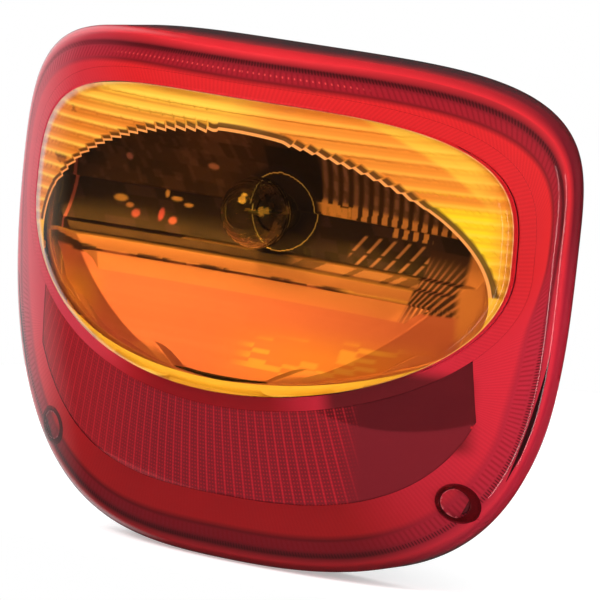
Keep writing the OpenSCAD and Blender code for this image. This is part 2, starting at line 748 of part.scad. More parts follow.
module bulb_cap() {
    difference() {
        translate([0, 0, -cap_l]) cylinder(r = cap_r, h = cap_l, $fn = round_fn);
        translate([0, 0, -cap_l - 1]) cylinder(r = cap_r - cap_wall, h = cap_l + 2, $fn = round_fn);
    }
    for (s = [-1, 1])
        translate([s * (cap_r - cap_wall / 2), 0, -pin_drop]) rotate([0, s * 90, 0])
            cylinder(r = pin_r, h = pin_l + cap_wall / 2, $fn = small_fn);
}

module bulb_insulator() {
    translate([0, 0, -cap_l - insulator_t]) cylinder(r = cap_r, h = insulator_t, $fn = round_fn);
    translate([0, 0, -cap_l - eps])
        cylinder(r = cap_r - cap_wall - socket_gap, h = insulator_t, $fn = round_fn);
}

module end_contact(x, r) {
    translate([x, 0, -cap_l - insulator_t - contact_h]) cylinder(r = r, h = contact_h, $fn = small_fn);
}

module indicator_place() forward(0, indicator_y, indicator_z) children();
module stop_place() forward(0, stop_y, stop_z) children();

module indicator_bulb_glass() color(clear) indicator_place() bulb_glass();
module indicator_bulb_filament() color(steel) indicator_place() filament(filament_h, 0);
module indicator_bulb_cap() color(brass) indicator_place() bulb_cap();
module indicator_bulb_insulator() color(black) indicator_place() bulb_insulator();
module indicator_bulb_contact() color(silver) indicator_place() end_contact(0, contact_r);

module stop_tail_bulb_glass() color(clear) stop_place() bulb_glass();
module stop_tail_bulb_filaments() color(steel) stop_place() {
    filament(filament_h, twin_offset);
    filament(filament_h - twin_drop, -twin_offset);
}
module stop_tail_bulb_cap() color(brass) stop_place() bulb_cap();
module stop_tail_bulb_insulator() color(black) stop_place() bulb_insulator();
module stop_tail_bulb_contacts() color(silver) stop_place()
    for (s = [-1, 1]) end_contact(s * blade_pitch / 2, twin_contact_r);

// Slot for one pin: in from the front, then sideways to the pin's seat
module bayonet_slot(reach) {
    w = 2 * (pin_r + socket_gap);
    rotate([90, 0, 90]) linear_extrude(ring_r)
        polygon([[-w / 2, -pin_drop - w / 2], [1.8 * w, -pin_drop - w / 2], [1.8 * w, reach],
            [0.8 * w, reach], [0.8 * w, -pin_drop + w / 2], [-w / 2, -pin_drop + w / 2]]);
}

// Sleeve that grips a bulb cap: a flange at its front and a bayonet slot for each pin.
// The flange stops short of the feed strips, which pass it on the side given by s.
module sleeve(y, z, s, feed_w) {
    depth = y + cap_l - strip_front + sleeve_wall;
    difference() {
        union() {
            forward(0, y + cap_l, z) cylinder(r = sleeve_r, h = depth, $fn = round_fn);
            difference() {
                forward(0, strip_front, z)
                    cylinder(r = sleeve_r + sleeve_flange, h = sleeve_wall, $fn = round_fn);
                box_back(0, z + s * ring_r / 2, feed_w, ring_r, -dome_depth, 0);
            }
        }
        forward(0, y + cap_l + 1, z)
            cylinder(r = cap_r + socket_gap, h = depth + 2, $fn = round_fn);
        forward(0, y, z) for (turn = [0, 180]) rotate([0, 0, turn]) bayonet_slot(depth);
    }
}

indicator_feed_w = strip_w + 2 * strip_room;
stop_feed_w = blade_pitch + strip_w + 2 * strip_room;

module indicator_socket() color(steel) sleeve(indicator_y, indicator_z, -1, indicator_feed_w);
module stop_tail_socket() color(steel) sleeve(stop_y, stop_z, 1, stop_feed_w);

// Middle of the room between sleeve and pot at a distance x from the bulb's axis
function riser_reach(x) = (sqrt(pow(sleeve_r, 2) - pow(max(0, x - leaf_w / 2), 2))
    + sqrt(pow(pot_r, 2) - pow(x + leaf_w / 2, 2))) / 2;

// Strip on the front of the plate from [x0, z0] to [x1, z1]
module plate_run(x0, x1, z0, z1) {
    translate([x0, strip_front, z0]) cube([x1 - x0, strip_t, z1 - z0]);
}

// Blade bent back from its strip through the slot in the plate
module blade(x) {
    box_back(x, blade_z, strip_w, strip_t, strip_front, plate_back + blade_l);
}

// Leaf under an end contact and the riser that brings it to the front of the plate
module leaf(x, y, z, s, past) {
    reach = riser_reach(abs(x)) + strip_t / 2;
    back = bulb_end(y) + strip_t;
    box_back(x, z + s * (reach - strip_t / 2), leaf_w, strip_t, strip_front, back);
    box_back(x, z + s * (reach - past) / 2, leaf_w, reach + past, back - strip_t, back);
}

// Open ring that the flange of a socket stands on
module earth_ring(z, s, feed_w) {
    difference() {
        forward(0, plate_front, z) cylinder(r = ring_r, h = strip_t, $fn = round_fn);
        forward(0, plate_front + 1, z) cylinder(r = sleeve_r + socket_gap, h = strip_t + 2, $fn = round_fn);
        box_back(0, z + s * (ring_r + 1) / 2, feed_w, ring_r + 1, -dome_depth, 0);
    }
}

module earth_strip() color(brass) {
    half = strip_w / 2;
    earth_ring(indicator_z, -1, indicator_feed_w);
    earth_ring(stop_z, 1, stop_feed_w);
    plate_run(blade_x[0] - half, blade_x[0] + half, stop_z + ring_r / 2, indicator_z - ring_r / 2);
    blade(blade_x[0]);
}

module indicator_feed_strip() color(brass) {
    half = strip_w / 2;
    run_z = (indicator_z - ring_r + blade_z) / 2;
    leaf(0, indicator_y, indicator_z, -1, contact_r);
    plate_run(-half, half, run_z - half, indicator_z - riser_reach(0) + strip_t / 2);
    plate_run(-half, blade_x[3] + half, run_z - half, run_z + half);
    plate_run(blade_x[3] - half, blade_x[3] + half, blade_z - strip_t / 2, run_z + half);
    blade(blade_x[3]);
}

module twin_feed_strip(x) {
    half = strip_w / 2;
    leaf(x, stop_y, stop_z, 1, twin_contact_r);
    plate_run(x - half, x + half, stop_z + riser_reach(abs(x)) - strip_t / 2, blade_z + strip_t / 2);
    blade(x);
}

module stop_feed_strip() color(brass) twin_feed_strip(blade_x[2]);
module tail_feed_strip() color(brass) twin_feed_strip(blade_x[1]);

module lens_screws() color(steel)
    for (x = [-screw_x, screw_x]) {
        difference() {
            forward(x, screw_seat, screw_z) cylinder(r = screw_head_r, h = screw_head_h, $fn = round_fn);
            for (w = [[cross_l, cross_w], [cross_w, cross_l]])
                box_back(x, screw_z, w[0], w[1], screw_seat - screw_head_h - 1,
                    screw_seat - screw_head_h + cross_depth);
        }
        forward(x, screw_end, screw_z) cylinder(r = screw_r, h = screw_l + eps, $fn = small_fn);
    }

module mounting_studs() color(steel)
    at_studs() {
        seat = plate_front - stud_boss_h + stud_head_t;
        forward(0, seat, 0) cylinder(r = stud_head_r, h = stud_head_t, $fn = round_fn);
        forward(0, stud_l, 0) cylinder(r = stud_r, h = stud_l - seat + eps, $fn = round_fn);
    }

module rear_pad() color(black)
    translate([0, plate_back + pad_t, 0]) rotate([90, 0, 0]) linear_extrude(pad_t) difference() {
        polygon([for (t = steps) seal_xz(t, pad_w / 2)]);
        polygon([for (t = steps) seal_xz(t, -pad_w / 2)]);
    }

module vent_patch() color(silver)
    forward(vent_x, plate_back + vent_patch_t, blade_z)
        cylinder(r = vent_patch_r, h = vent_patch_t, $fn = small_fn);

red_lens();
amber_lens();
reflex_insert();
lens_seal();
housing();
indicator_reflector();
stop_tail_reflector();
indicator_bulb_glass();
indicator_bulb_filament();
indicator_bulb_cap();
indicator_bulb_insulator();
indicator_bulb_contact();
stop_tail_bulb_glass();
stop_tail_bulb_filaments();
stop_tail_bulb_cap();
stop_tail_bulb_insulator();
stop_tail_bulb_contacts();
indicator_socket();
stop_tail_socket();
earth_strip();
indicator_feed_strip();
stop_feed_strip();
tail_feed_strip();
lens_screws();
mounting_studs();
rear_pad();
vent_patch();
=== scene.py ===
# %% [markdown]
# # A tail light cluster, dressed
#
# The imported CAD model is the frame: every piece below is made in metres, in the same frame, and stays
# inside it. The lens faces -Y, +Z is up, and the plane of the lens rim is y = 0. What the camera sees is
# mostly clear and tinted plastic, so the lesson spends its effort on the mouldings of the lens and on the
# bright and dark facets of the reflector behind it.

import bpy
import numpy as np
from mathutils import Matrix, Vector


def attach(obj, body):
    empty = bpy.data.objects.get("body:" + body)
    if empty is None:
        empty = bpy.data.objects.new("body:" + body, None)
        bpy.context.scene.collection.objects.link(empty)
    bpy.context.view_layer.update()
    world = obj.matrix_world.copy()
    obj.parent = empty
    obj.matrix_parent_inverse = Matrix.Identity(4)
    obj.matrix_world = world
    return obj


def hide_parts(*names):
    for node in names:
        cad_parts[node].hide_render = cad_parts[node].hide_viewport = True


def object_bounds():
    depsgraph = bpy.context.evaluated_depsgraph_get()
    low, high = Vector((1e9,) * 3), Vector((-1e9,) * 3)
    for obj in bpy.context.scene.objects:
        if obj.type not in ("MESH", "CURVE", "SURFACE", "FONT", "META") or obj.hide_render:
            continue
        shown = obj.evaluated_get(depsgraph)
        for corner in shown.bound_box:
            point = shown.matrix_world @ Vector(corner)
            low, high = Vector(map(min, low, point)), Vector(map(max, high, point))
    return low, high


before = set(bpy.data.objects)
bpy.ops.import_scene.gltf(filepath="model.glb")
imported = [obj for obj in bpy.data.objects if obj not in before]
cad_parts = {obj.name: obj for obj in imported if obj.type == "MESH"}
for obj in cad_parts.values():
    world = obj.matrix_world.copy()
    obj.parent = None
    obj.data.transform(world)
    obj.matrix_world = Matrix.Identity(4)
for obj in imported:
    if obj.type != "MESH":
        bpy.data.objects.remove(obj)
cad_box = [list(map(float, corner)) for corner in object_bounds()]
MM = 0.001

# %% [markdown]
# ## The form of the lens
#
# The lens is one smooth dome inside a rounded square outline. Both come from short formulas, so the outer
# face, the inner face, the window and the inserts can all be worked out from the same few sizes, and they
# fit each other everywhere. All lengths here are in millimetres.

# %% Outlines
HALF_W = 115.0
WIDEST_Z = 19.0
WINDOW_Z = 12.0
BULB_Z = 19.0
BULB_OPENING_R = 13.7
LENS_WALL = 3.0
EDGE_ROLL = 4.3
RIB_PITCH = 4.5


def superellipse(a, up, down, power_up, power_down, t):
    """Radius at angle t, clockwise from the top: (sin/a)^p + (cos/b)^p = r^-p, with its own b and p above
    and below."""
    s, c = np.abs(np.sin(t)), np.abs(np.cos(t))
    b = np.where(np.cos(t) >= 0, up, down)
    p = np.where(np.cos(t) >= 0, power_up, power_down)
    return ((s / a) ** p + (c / b) ** p) ** (-1 / p)


def ring_line(r, t, z0=0.0):
    """Points x, z at radius r and angle t round the point x = 0, z = z0."""
    return np.stack([r * np.sin(t), z0 + r * np.cos(t)], -1)


def edge_line(t, inset):
    """The lens outline, moved inwards."""
    return ring_line(superellipse(HALF_W - inset, 59 - inset, 122.5 - inset, 4, 3, t), t, WIDEST_Z)


def window_line(t, outset):
    """The amber window's outline, moved outwards: a superellipse round z = 12, given at angles t round the
    origin. Each point is found by halving a range of radii."""
    near, far = np.zeros(np.shape(t)), np.full(np.shape(t), 140.0)
    for _ in range(40):
        r = (near + far) / 2
        x, z = r * np.sin(t), r * np.cos(t) - WINDOW_Z
        limit = superellipse(99 + outset, 47.3 + outset, 55 + outset, 3.6, 2, np.arctan2(x, z))
        out = np.hypot(x, z) > limit
        near, far = np.where(out, near, r), np.where(out, r, far)
    return ring_line(near, t)


def oval_line(t, outset=0.0):
    """The clear oval's outline: 92 by 47.4 above the middle, 38.6 below it."""
    return ring_line(superellipse(92 + outset, 47.4 + outset, 38.6 + outset, 2, 2, t), t)


print("outline at the top:", edge_line(np.array([0.0]), 0)[0], "window:", window_line(np.array([0.0]), 0)[0])

# %% The dome
LEAN = 0.06745
BEND = -0.001427
DOME_DEPTH, SIDE_DEPTH = 48.7, 5.5
SIDE_FALL = (DOME_DEPTH - SIDE_DEPTH) / HALF_W ** 2


def dome(p):
    """Depth in front of the rim plane: a parabola across, and a leaning parabola up and down."""
    x, z = p[..., 0], p[..., 1]
    return DOME_DEPTH + LEAN * z + BEND * z ** 2 - SIDE_FALL * x ** 2


def under(p, t):
    """Depth of a skin t below the dome, measured square to it: t times the length of the slope vector."""
    x, z = p[..., 0], p[..., 1]
    return dome(p) - t * np.sqrt(1 + (2 * SIDE_FALL * x) ** 2 + (LEAN + 2 * BEND * z) ** 2)


def roll(inset):
    """Fall of the rolled edge: a quarter circle of radius EDGE_ROLL."""
    gap = np.clip(1 - np.asarray(inset) / EDGE_ROLL, 0, 1)
    return EDGE_ROLL * (1 - np.sqrt(1 - gap ** 2))


def at(p, depth):
    """Points x, y, z from points x, z and a depth."""
    return np.stack([p[..., 0], -np.broadcast_to(depth, p.shape[:-1]), p[..., 1]], -1)


def mix(a, b, f):
    return a * (1 - f) + b * f


def smooth(lo, hi, v):
    """0 below lo, 1 above hi, and a smooth step between."""
    f = np.clip((v - lo) / (hi - lo), 0, 1)
    return f * f * (3 - 2 * f)


def band(lo, hi, v, soft=0.3):
    """1 between lo and hi, with soft edges."""
    return smooth(lo - soft, lo + soft, v) * (1 - smooth(hi - soft, hi + soft, v))


def cell_noise(i, j, seed):
    """A repeatable value from 0 to 1 for each whole-numbered cell i, j."""
    h = np.sin(np.floor(i) * 127.1 + np.floor(j) * 311.7 + seed * 74.7) * 43758.5453
    return h - np.floor(h)


print("depth at the centre:", float(dome(np.array([0.0, 0.0]))))

# %% [markdown]
# ## From arrays to meshes
#
# Every surface is a grid of points, rows by columns. One helper turns a grid into a mesh. It closes the grid
# on itself round the columns, and it closes the first and last rows with a fan, or joins them to each other.
# Each point also carries a colour, called paint, and a place: its distance along the edge and its distance
# in from it. The materials read both.

# %% Mesh helpers


def make_piece(name, points, faces, paint=None, place=None, slots=None):
    """A piece from a list of points in millimetres and a list of faces."""
    mesh = bpy.data.meshes.new(name)
    mesh.from_pydata((points * MM).tolist(), [], faces)
    if paint is not None:
        layer = mesh.color_attributes.new("paint", "FLOAT_COLOR", "POINT")
        rgba = np.ones((len(points), 4), np.float32)
        rgba[:, :3] = paint
        layer.data.foreach_set("color", rgba.ravel())
    if place is not None:
        layer = mesh.attributes.new("place", "FLOAT_VECTOR", "POINT")
        layer.data.foreach_set("vector", np.asarray(place, np.float32).ravel())
    if slots is not None:
        mesh.polygons.foreach_set("material_index", np.asarray(slots, np.int32))
    mesh.polygons.foreach_set("use_smooth", np.ones(len(faces), bool))
    mesh.update()
    piece = bpy.data.objects.new(name, mesh)
    bpy.context.scene.collection.objects.link(piece)
    return piece


def ring_piece(name, points, paint=None, place=None, row_slots=None, fans=False):
    """Closed skin over rows of rings (rows, columns, 3). The last row joins the first, or both get fans."""
    rows, cols = points.shape[:2]
    j, i = np.meshgrid(np.arange(rows - fans), np.arange(cols), indexing="ij")
    j2, i2 = (j + 1) % rows, (i + 1) % cols
    faces = np.stack([j * cols + i, j * cols + i2, j2 * cols + i2, j2 * cols + i], -1).reshape(-1, 4).tolist()
    flat = points.reshape(-1, 3)
    layers = [None if layer is None else np.broadcast_to(layer, points.shape).reshape(-1, 3)
              for layer in (paint, place)]
    slots = None if row_slots is None else np.repeat(row_slots[: rows - fans], cols)
    if fans:
        first, last = rows * cols, rows * cols + 1
        flat = np.concatenate([flat, [points[0].mean(0)], [points[-1].mean(0)]])
        around = np.arange(cols)
        after = (around + 1) % cols
        faces += np.stack([after, around, np.full(cols, first)], -1).tolist()
        top = (rows - 1) * cols
        faces += np.stack([top + around, top + after, np.full(cols, last)], -1).tolist()
        layers = [None if layer is None else np.concatenate([layer, layer[:1], layer[-1:]])
                  for layer in layers]
        if slots is not None:
            slots = np.concatenate([slots, np.repeat([row_slots[0], row_slots[-1]], cols)])
    return make_piece(name, flat, faces, layers[0], layers[1], slots)


def slab_piece(name, front, thickness, paint=None, place=None, slots=None, stride=16):
    """Closed slab under a front grid (rows upwards, columns to the right), with a coarser back."""
    rows, cols = front.shape[:2]
    keep = sorted(set(range(0, rows, stride)) | {rows - 1})
    back = front[keep] + np.array([0, thickness, 0])
    j, i = np.meshgrid(np.arange(rows - 1), np.arange(cols - 1), indexing="ij")
    faces = np.stack([j * cols + i, j * cols + i + 1, (j + 1) * cols + i + 1, (j + 1) * cols + i], -1)
    faces = faces.reshape(-1, 4).tolist()
    base = rows * cols
    for a in range(len(keep) - 1):
        lo, hi = base + a * cols, base + (a + 1) * cols
        faces += [[lo + c + 1, lo + c, hi + c, hi + c + 1] for c in range(cols - 1)]
        span = list(range(keep[a], keep[a + 1] + 1))
        faces.append([r * cols for r in span] + [hi, lo])
        faces.append([r * cols + cols - 1 for r in reversed(span)] + [lo + cols - 1, hi + cols - 1])
    top_front, top_back = (rows - 1) * cols, base + (len(keep) - 1) * cols
    faces += [[c + 1, c, base + c, base + c + 1] for c in range(cols - 1)]
    faces += [[top_front + c, top_front + c + 1, top_back + c + 1, top_back + c] for c in range(cols - 1)]
    flat = np.concatenate([front.reshape(-1, 3), back.reshape(-1, 3)])

    def spread(layer):
        full = np.broadcast_to(layer, front.shape)
        return np.concatenate([full.reshape(-1, 3), full[keep].reshape(-1, 3)])

    layers = [None if layer is None else spread(layer) for layer in (paint, place)]
    return make_piece(name, flat, faces, layers[0], layers[1], slots)


def box_points(x0, x1, y0, y1, z0, z1):
    """The eight corners and six faces of a box."""
    corners = np.array([(x, y, z) for z in (z0, z1) for y in (y0, y1) for x in (x0, x1)], float)
    faces = [[0, 2, 3, 1], [4, 5, 7, 6], [0, 1, 5, 4], [2, 6, 7, 3], [0, 4, 6, 2], [1, 3, 7, 5]]
    return corners, faces


def cut_round(piece, x, z, radius):
    """Cuts a round hole from front to back, with an exact boolean that is applied at once."""
    ring = np.arange(48) * 2 * np.pi / 48
    rows = np.stack([np.stack([x + radius * np.sin(ring), np.full(48, y), z + radius * np.cos(ring)], -1)
                     for y in (-70.0, 30.0)])
    tool = ring_piece("cutter", rows[::-1], fans=True)
    change = piece.modifiers.new("hole", "BOOLEAN")
    change.operation = "DIFFERENCE"
    change.solver = "EXACT"
    change.object = tool
    bpy.context.view_layer.update()
    cut = bpy.data.meshes.new_from_object(piece.evaluated_get(bpy.context.evaluated_depsgraph_get()))
    piece.modifiers.clear()
    piece.data = cut
    bpy.data.objects.remove(tool)


def wear(piece, *materials):
    """Puts the materials on the piece, which rides with the one body of this object."""
    for material in materials:
        piece.data.materials.append(material)
    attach(piece, "root")
    print(piece.name, len(piece.data.polygons), "faces")
    return piece


# %% Colour and node helpers


def rgb(code):
    """An sRGB hex value as linear red, green and blue."""
    v = np.array([int(code[i : i + 2], 16) for i in (1, 3, 5)]) / 255
    return np.where(v <= 0.04045, v / 12.92, ((v + 0.055) / 1.055) ** 2.4)


def add(tree, kind, settings=None, **links):
    """Adds a node: settings are its properties or input values, links are its inputs by name."""
    node = tree.nodes.new(kind)
    for key, value in (settings or {}).items():
        if isinstance(key, str) and hasattr(node, key):
            setattr(node, key, value)
        else:
            node.inputs[key].default_value = value
    for key, source in links.items():
        name = int(key[1:]) if key[0] == "_" else key.replace("_", " ")
        tree.links.new(source, node.inputs[name])
    return node


def calc(tree, operation, a, b):
    """A maths node: a and b are outputs or plain numbers."""
    node = tree.nodes.new("ShaderNodeMath")
    node.operation = operation
    for slot, value in ((0, a), (1, b)):
        if isinstance(value, (int, float)):
            node.inputs[slot].default_value = value
        else:
            tree.links.new(value, node.inputs[slot])
    return node.outputs[0]


def between(tree, value, lo, hi, soft):
    """1 where the value lies between lo and hi, with soft edges."""
    rise = add(tree, "ShaderNodeMapRange", {1: lo - soft, 2: lo + soft}, _0=value).outputs[0]
    fall = add(tree, "ShaderNodeMapRange", {1: hi - soft, 2: hi + soft, 3: 1.0, 4: 0.0}, _0=value).outputs[0]
    return calc(tree, "MULTIPLY", rise, fall)


def wave(tree, value, pitch, sharp):
    """Thin bright lines at every pitch: the cosine raised to a power."""
    turned = calc(tree, "MULTIPLY", value, 2 * np.pi / pitch)
    lifted = calc(tree, "MULTIPLY_ADD", calc(tree, "COSINE", turned, 0.0), 0.5)
    lifted.node.inputs[2].default_value = 0.5
    return calc(tree, "POWER", lifted, sharp)


def tint(tree, base, factor, colour):
    """Mixes a colour over the base by the factor."""
    node = tree.nodes.new("ShaderNodeMix")
    node.data_type = "RGBA"
    tree.links.new(factor, node.inputs[0])
    tree.links.new(base, node.inputs[6])
    node.inputs[7].default_value = (*colour, 1)
    return node.outputs[2]


def new_material(name):
    material = bpy.data.materials.new(name)
    material.use_nodes = True
    tree = material.node_tree
    tree.nodes.clear()
    return material, tree, add(tree, "ShaderNodeOutputMaterial")


def plain(name, code, roughness, metallic=0.0, **more):
    """A material with one colour all over."""
    material, tree, out = new_material(name)
    shader = add(tree, "ShaderNodeBsdfPrincipled", {
        "Base Color": (*rgb(code), 1), "Roughness": roughness, "Metallic": metallic, **more})
    tree.links.new(shader.outputs[0], out.inputs[0])
    return material


def grained(name, code, roughness, metallic, size, spread, **more):
    """A material whose tone and roughness vary a little in grains of the given size in millimetres."""
    material, tree, out = new_material(name)
    where = add(tree, "ShaderNodeTexCoord")
    noise = add(tree, "ShaderNodeTexNoise", {"Scale": 1000 / size, "Detail": 3.0},
        Vector=where.outputs["Object"])
    value = add(tree, "ShaderNodeMapRange", {1: 0.3, 2: 0.7, 3: 1 - spread, 4: 1 + spread},
        _0=noise.outputs[0])
    tone = add(tree, "ShaderNodeHueSaturation", {"Color": (*rgb(code), 1)}, Value=value.outputs[0])
    rough = calc(tree, "MULTIPLY", value.outputs[0], roughness)
    shader = add(tree, "ShaderNodeBsdfPrincipled", {"Metallic": metallic, **more},
        Base_Color=tone.outputs[0], Roughness=rough)
    tree.links.new(shader.outputs[0], out.inputs[0])
    return material


def painted(name, roughness, metallic=0.0, detail=None, **more):
    """A material that takes its colour from the piece's own paint. A function can add fine detail, from the
    paint and from the place of each point."""
    material, tree, out = new_material(name)
    tone = add(tree, "ShaderNodeAttribute", {"attribute_name": "paint"}).outputs["Color"]
    if detail is not None:
        place = add(tree, "ShaderNodeAttribute", {"attribute_name": "place"}).outputs["Vector"]
        split = add(tree, "ShaderNodeSeparateXYZ", _0=place)
        tone = detail(tree, tone, *[split.outputs[k] for k in range(3)])
    shader = add(tree, "ShaderNodeBsdfPrincipled", {"Roughness": roughness, "Metallic": metallic, **more},
        Base_Color=tone)
    tree.links.new(shader.outputs[0], out.inputs[0])
    return material


# %% [markdown]
# ## Tinted acrylic
#
# The lenses are moulded in acrylic, dyed all through and polished by the mould. Its index is 1.49. Light
# that comes back from inside has passed the wall twice, and crosses four faces on its way, so each face
# only takes a little of the tint. Where the inner face is fluted, the flutes scatter the light, and the eye
# sees them as a coloured layer inside the clear wall.

# %% Lens plastics
red_clear = plain("red acrylic, polished", "#F67C81", 0.02, 0.0,
    **{"Transmission Weight": 1.0, "IOR": 1.49, "Specular IOR Level": 0.35})
amber_clear = plain("amber acrylic, polished", "#FFD070", 0.02, 0.0,
    **{"Transmission Weight": 1.0, "IOR": 1.49, "Specular IOR Level": 0.4})


def red_detail(tree, tone, along, inset, highlight_reach):
    """Radial flutes of the border, and a row of painted highlights, small bright points, above the window."""
    teeth = calc(tree, "MULTIPLY", wave(tree, along, 1.15, 1.5), between(tree, inset, 5.6, 7.2, 0.3))
    tone = tint(tree, tone, calc(tree, "MULTIPLY", teeth, 0.85), rgb("#200406"))
    ribs = calc(tree, "MULTIPLY", wave(tree, along, 2.1, 2.0), between(tree, inset, 7.6, 11.4, 0.3))
    tone = tint(tree, tone, calc(tree, "MULTIPLY", ribs, 0.45), rgb("#6A0C18"))
    fine = calc(tree, "MULTIPLY", wave(tree, along, 1.6, 1.0), between(tree, inset, 12.0, 34.0, 1.0))
    tone = tint(tree, tone, calc(tree, "MULTIPLY", fine, 0.14), rgb("#7A0A18"))
    # Painted highlights: a row of small bright points above the window
    dots = calc(tree, "MULTIPLY", wave(tree, along, 2.2, 6.0), between(tree, inset, 9.2, 9.9, 0.15))
    dots = calc(tree, "MULTIPLY", dots, highlight_reach)
    return tint(tree, tone, calc(tree, "MULTIPLY", dots, 0.8), rgb("#FF9A90"))


red_optics = painted("red acrylic, fluted inside", 0.4, 0.0, red_detail)

# %% [markdown]
# ## The red lens
#
# The border, the lower part and the skirt are one red moulding. Its section is carried round the outline:
# outer face, rolled edge, skirt, inner face and back to the window. The inner face follows the edge of the
# reflex insert exactly, so the insert shows through clear plastic, and the rest of the inner face carries
# the tones of its flutes, with painted light on the rolled edge. They change with the distance from the
# edge, and from the top of the lens to its sides and bottom: painted shade darkens the bottom, and a painted
# sheen lies on the left and lower right sides.

# %% Tones of the border
RED_WALL = rgb("#F67C81")
# Tone at each distance in from the edge: lip, rolled edge, groove, flutes, fine line, field. The bright
# rolled edge is partly a painted highlight.
BORDER_TONES = {0: "#7A1824", 1.5: "#E02830", 3.5: "#D82830", 6: "#500810", 8.5: "#A01424", 11: "#A41424",
    12: "#780C14", 14: "#DC2022", 40: "#C81C24"}
# The lower border keeps this share of its tone, as painted shade; the left and lower right get a painted
# sheen
LOW_SHADE_SHARE = 0.42
LEFT_SHEEN, LOW_RIGHT_SHEEN = "#C84456", "#D02840"
LOW_RIGHT = np.radians(118)


def behind(wall, code, times=1):
    """The tone that a face needs to look like the given colour through so many tinted walls."""
    return np.clip(rgb(code) / wall ** times, 0, 0.96)


def border_tone(t, inset):
    """Tone across the border: painted shade at the bottom, a painted sheen at the left and lower right."""
    stops = list(BORDER_TONES)
    tones = np.array([behind(RED_WALL, code) for code in BORDER_TONES.values()])
    tone = np.stack([np.interp(inset, stops, tones[:, k]) for k in range(3)], -1)
    # Painted shade: the lower border is darker
    low = smooth(-0.45, -0.95, np.cos(t))[..., None]
    tone = tone * mix(1, LOW_SHADE_SHARE, low)
    # Painted sheen on the left side
    left = smooth(0.6, 1.0, -np.sin(t))[..., None]
    tone = mix(tone, behind(RED_WALL, LEFT_SHEEN), 0.7 * left)
    # Painted sheen at the lower right
    low_right = smooth(0.8, 1.0, np.cos(t - LOW_RIGHT))[..., None]
    return mix(tone, behind(RED_WALL, LOW_RIGHT_SHEEN), 0.6 * low_right)


print("tones at the top edge:", np.round(border_tone(np.zeros(2), np.array([0.0, 3.0])), 2).tolist())

# %% Lines of the reflex insert
REFLEX_T0 = np.radians(102.4)
REFLEX_T1 = np.radians(123.5)


def reflex_outer_free(t):
    return ring_line(superellipse(98, 98.5, 98.5, 3, 3, t), t, WIDEST_Z)


def reflex_outer(t):
    """Outer edge of the insert: the window's line outside the insert's ends, a straight end, and a
    superellipse between the ends."""
    side = np.where(t > np.pi, 2 * np.pi - t, t)
    sign = np.where(t > np.pi, -1.0, 1.0)
    start = window_line(np.array(REFLEX_T0), 5)
    stop = reflex_outer_free(np.array(REFLEX_T1))
    f = np.clip((side - REFLEX_T0) / (REFLEX_T1 - REFLEX_T0), 0, 1)[..., None]
    straight = mix(start, stop, f)
    p = np.where(side[..., None] > REFLEX_T1, reflex_outer_free(side), straight)
    p = np.where(side[..., None] < REFLEX_T0, window_line(side, 5.05), p)
    return p * np.stack([sign, np.ones_like(sign)], -1)


AROUND = 720
turn = np.arange(AROUND) * 2 * np.pi / AROUND


def run_along(line):
    """Distance along a closed line of points, from its first point."""
    steps = np.linalg.norm(np.diff(line, axis=0), axis=-1)
    return np.concatenate([[0], np.cumsum(steps)])


edge_run = run_along(edge_line(turn, 0))
print("the edge is", round(float(edge_run[-1])), "mm round")

# %% Red lens
SCREW_X, SCREW_Z, RECESS_R = 84.4, -70.1, 5.3


def red_rows():
    """The section of the red lens as rows of points, with paint, place and slot for each row."""
    rows, insets, slots = [], [], []

    def put(points, inset, slot):
        rows.append(points)
        insets.append(np.broadcast_to(inset, (AROUND,)))
        slots.append(slot)

    inner, outer = window_line(turn, 0.3), edge_line(turn, EDGE_ROLL)
    for f in np.linspace(0, 1, 22):
        p = mix(inner, outer, f)
        put(at(p, dome(p)), 10, 0)
    for gap in EDGE_ROLL * (1 - np.sin(np.linspace(0.12, 1, 8) * np.pi / 2)):
        p = edge_line(turn, gap)
        put(at(p, dome(p) - roll(gap)), 1, 0)
    for f in (0.5, 1):
        p = edge_line(turn, 0)
        put(at(p, (dome(p) - EDGE_ROLL) * (1 - f)), 0, 0)
    for f in (0, 0.5, 1):
        p = edge_line(turn, LENS_WALL)
        put(at(p, (under(p, LENS_WALL) - roll(LENS_WALL)) * f), 0.0 if f < 1 else 2.4, 1)
    p3 = edge_line(turn, LENS_WALL)
    p2, p1, p0 = reflex_outer(turn), window_line(turn, 5), window_line(turn, 0.3)
    for a, b, count, slot in ((p3, p2, 44, 1), (p2, p1, 8, 0), (p1, p0, 8, 1)):
        for f in np.linspace(0, 1, count, endpoint=False) + 1 / count:
            p = mix(a, b, f)
            put(at(p, under(p, LENS_WALL)), np.linalg.norm(p - edge_line(turn, 0), axis=-1), slot)
    return np.array(rows), np.array(insets), np.array(slots)


red_points, red_insets, red_slots = red_rows()
red_paint = border_tone(np.broadcast_to(turn, red_insets.shape), red_insets)
red_x, red_z = red_points[..., 0], red_points[..., 2]
# Painted shade: a dark patch in the lower right of the border
shade = band(42, 88, red_x, 4) * band(-52, -26, red_z, 3) * (red_insets > 12)
red_paint = mix(red_paint, behind(RED_WALL, "#3C1010"), shade[..., None] * 0.85)
# Where the border's painted highlights lie: above the window, near the top
above = band(-60, 45, red_x, 6) * (red_z > 55)
red_place = np.stack([np.broadcast_to(edge_run, red_insets.shape), red_insets, above], -1)
red_lens = ring_piece("red_lens_skin", red_points, red_paint, red_place, np.roll(red_slots, -1))
wear(red_lens, red_clear, red_optics)
for side in (-1, 1):
    cut_round(red_lens, side * SCREW_X, SCREW_Z, RECESS_R)


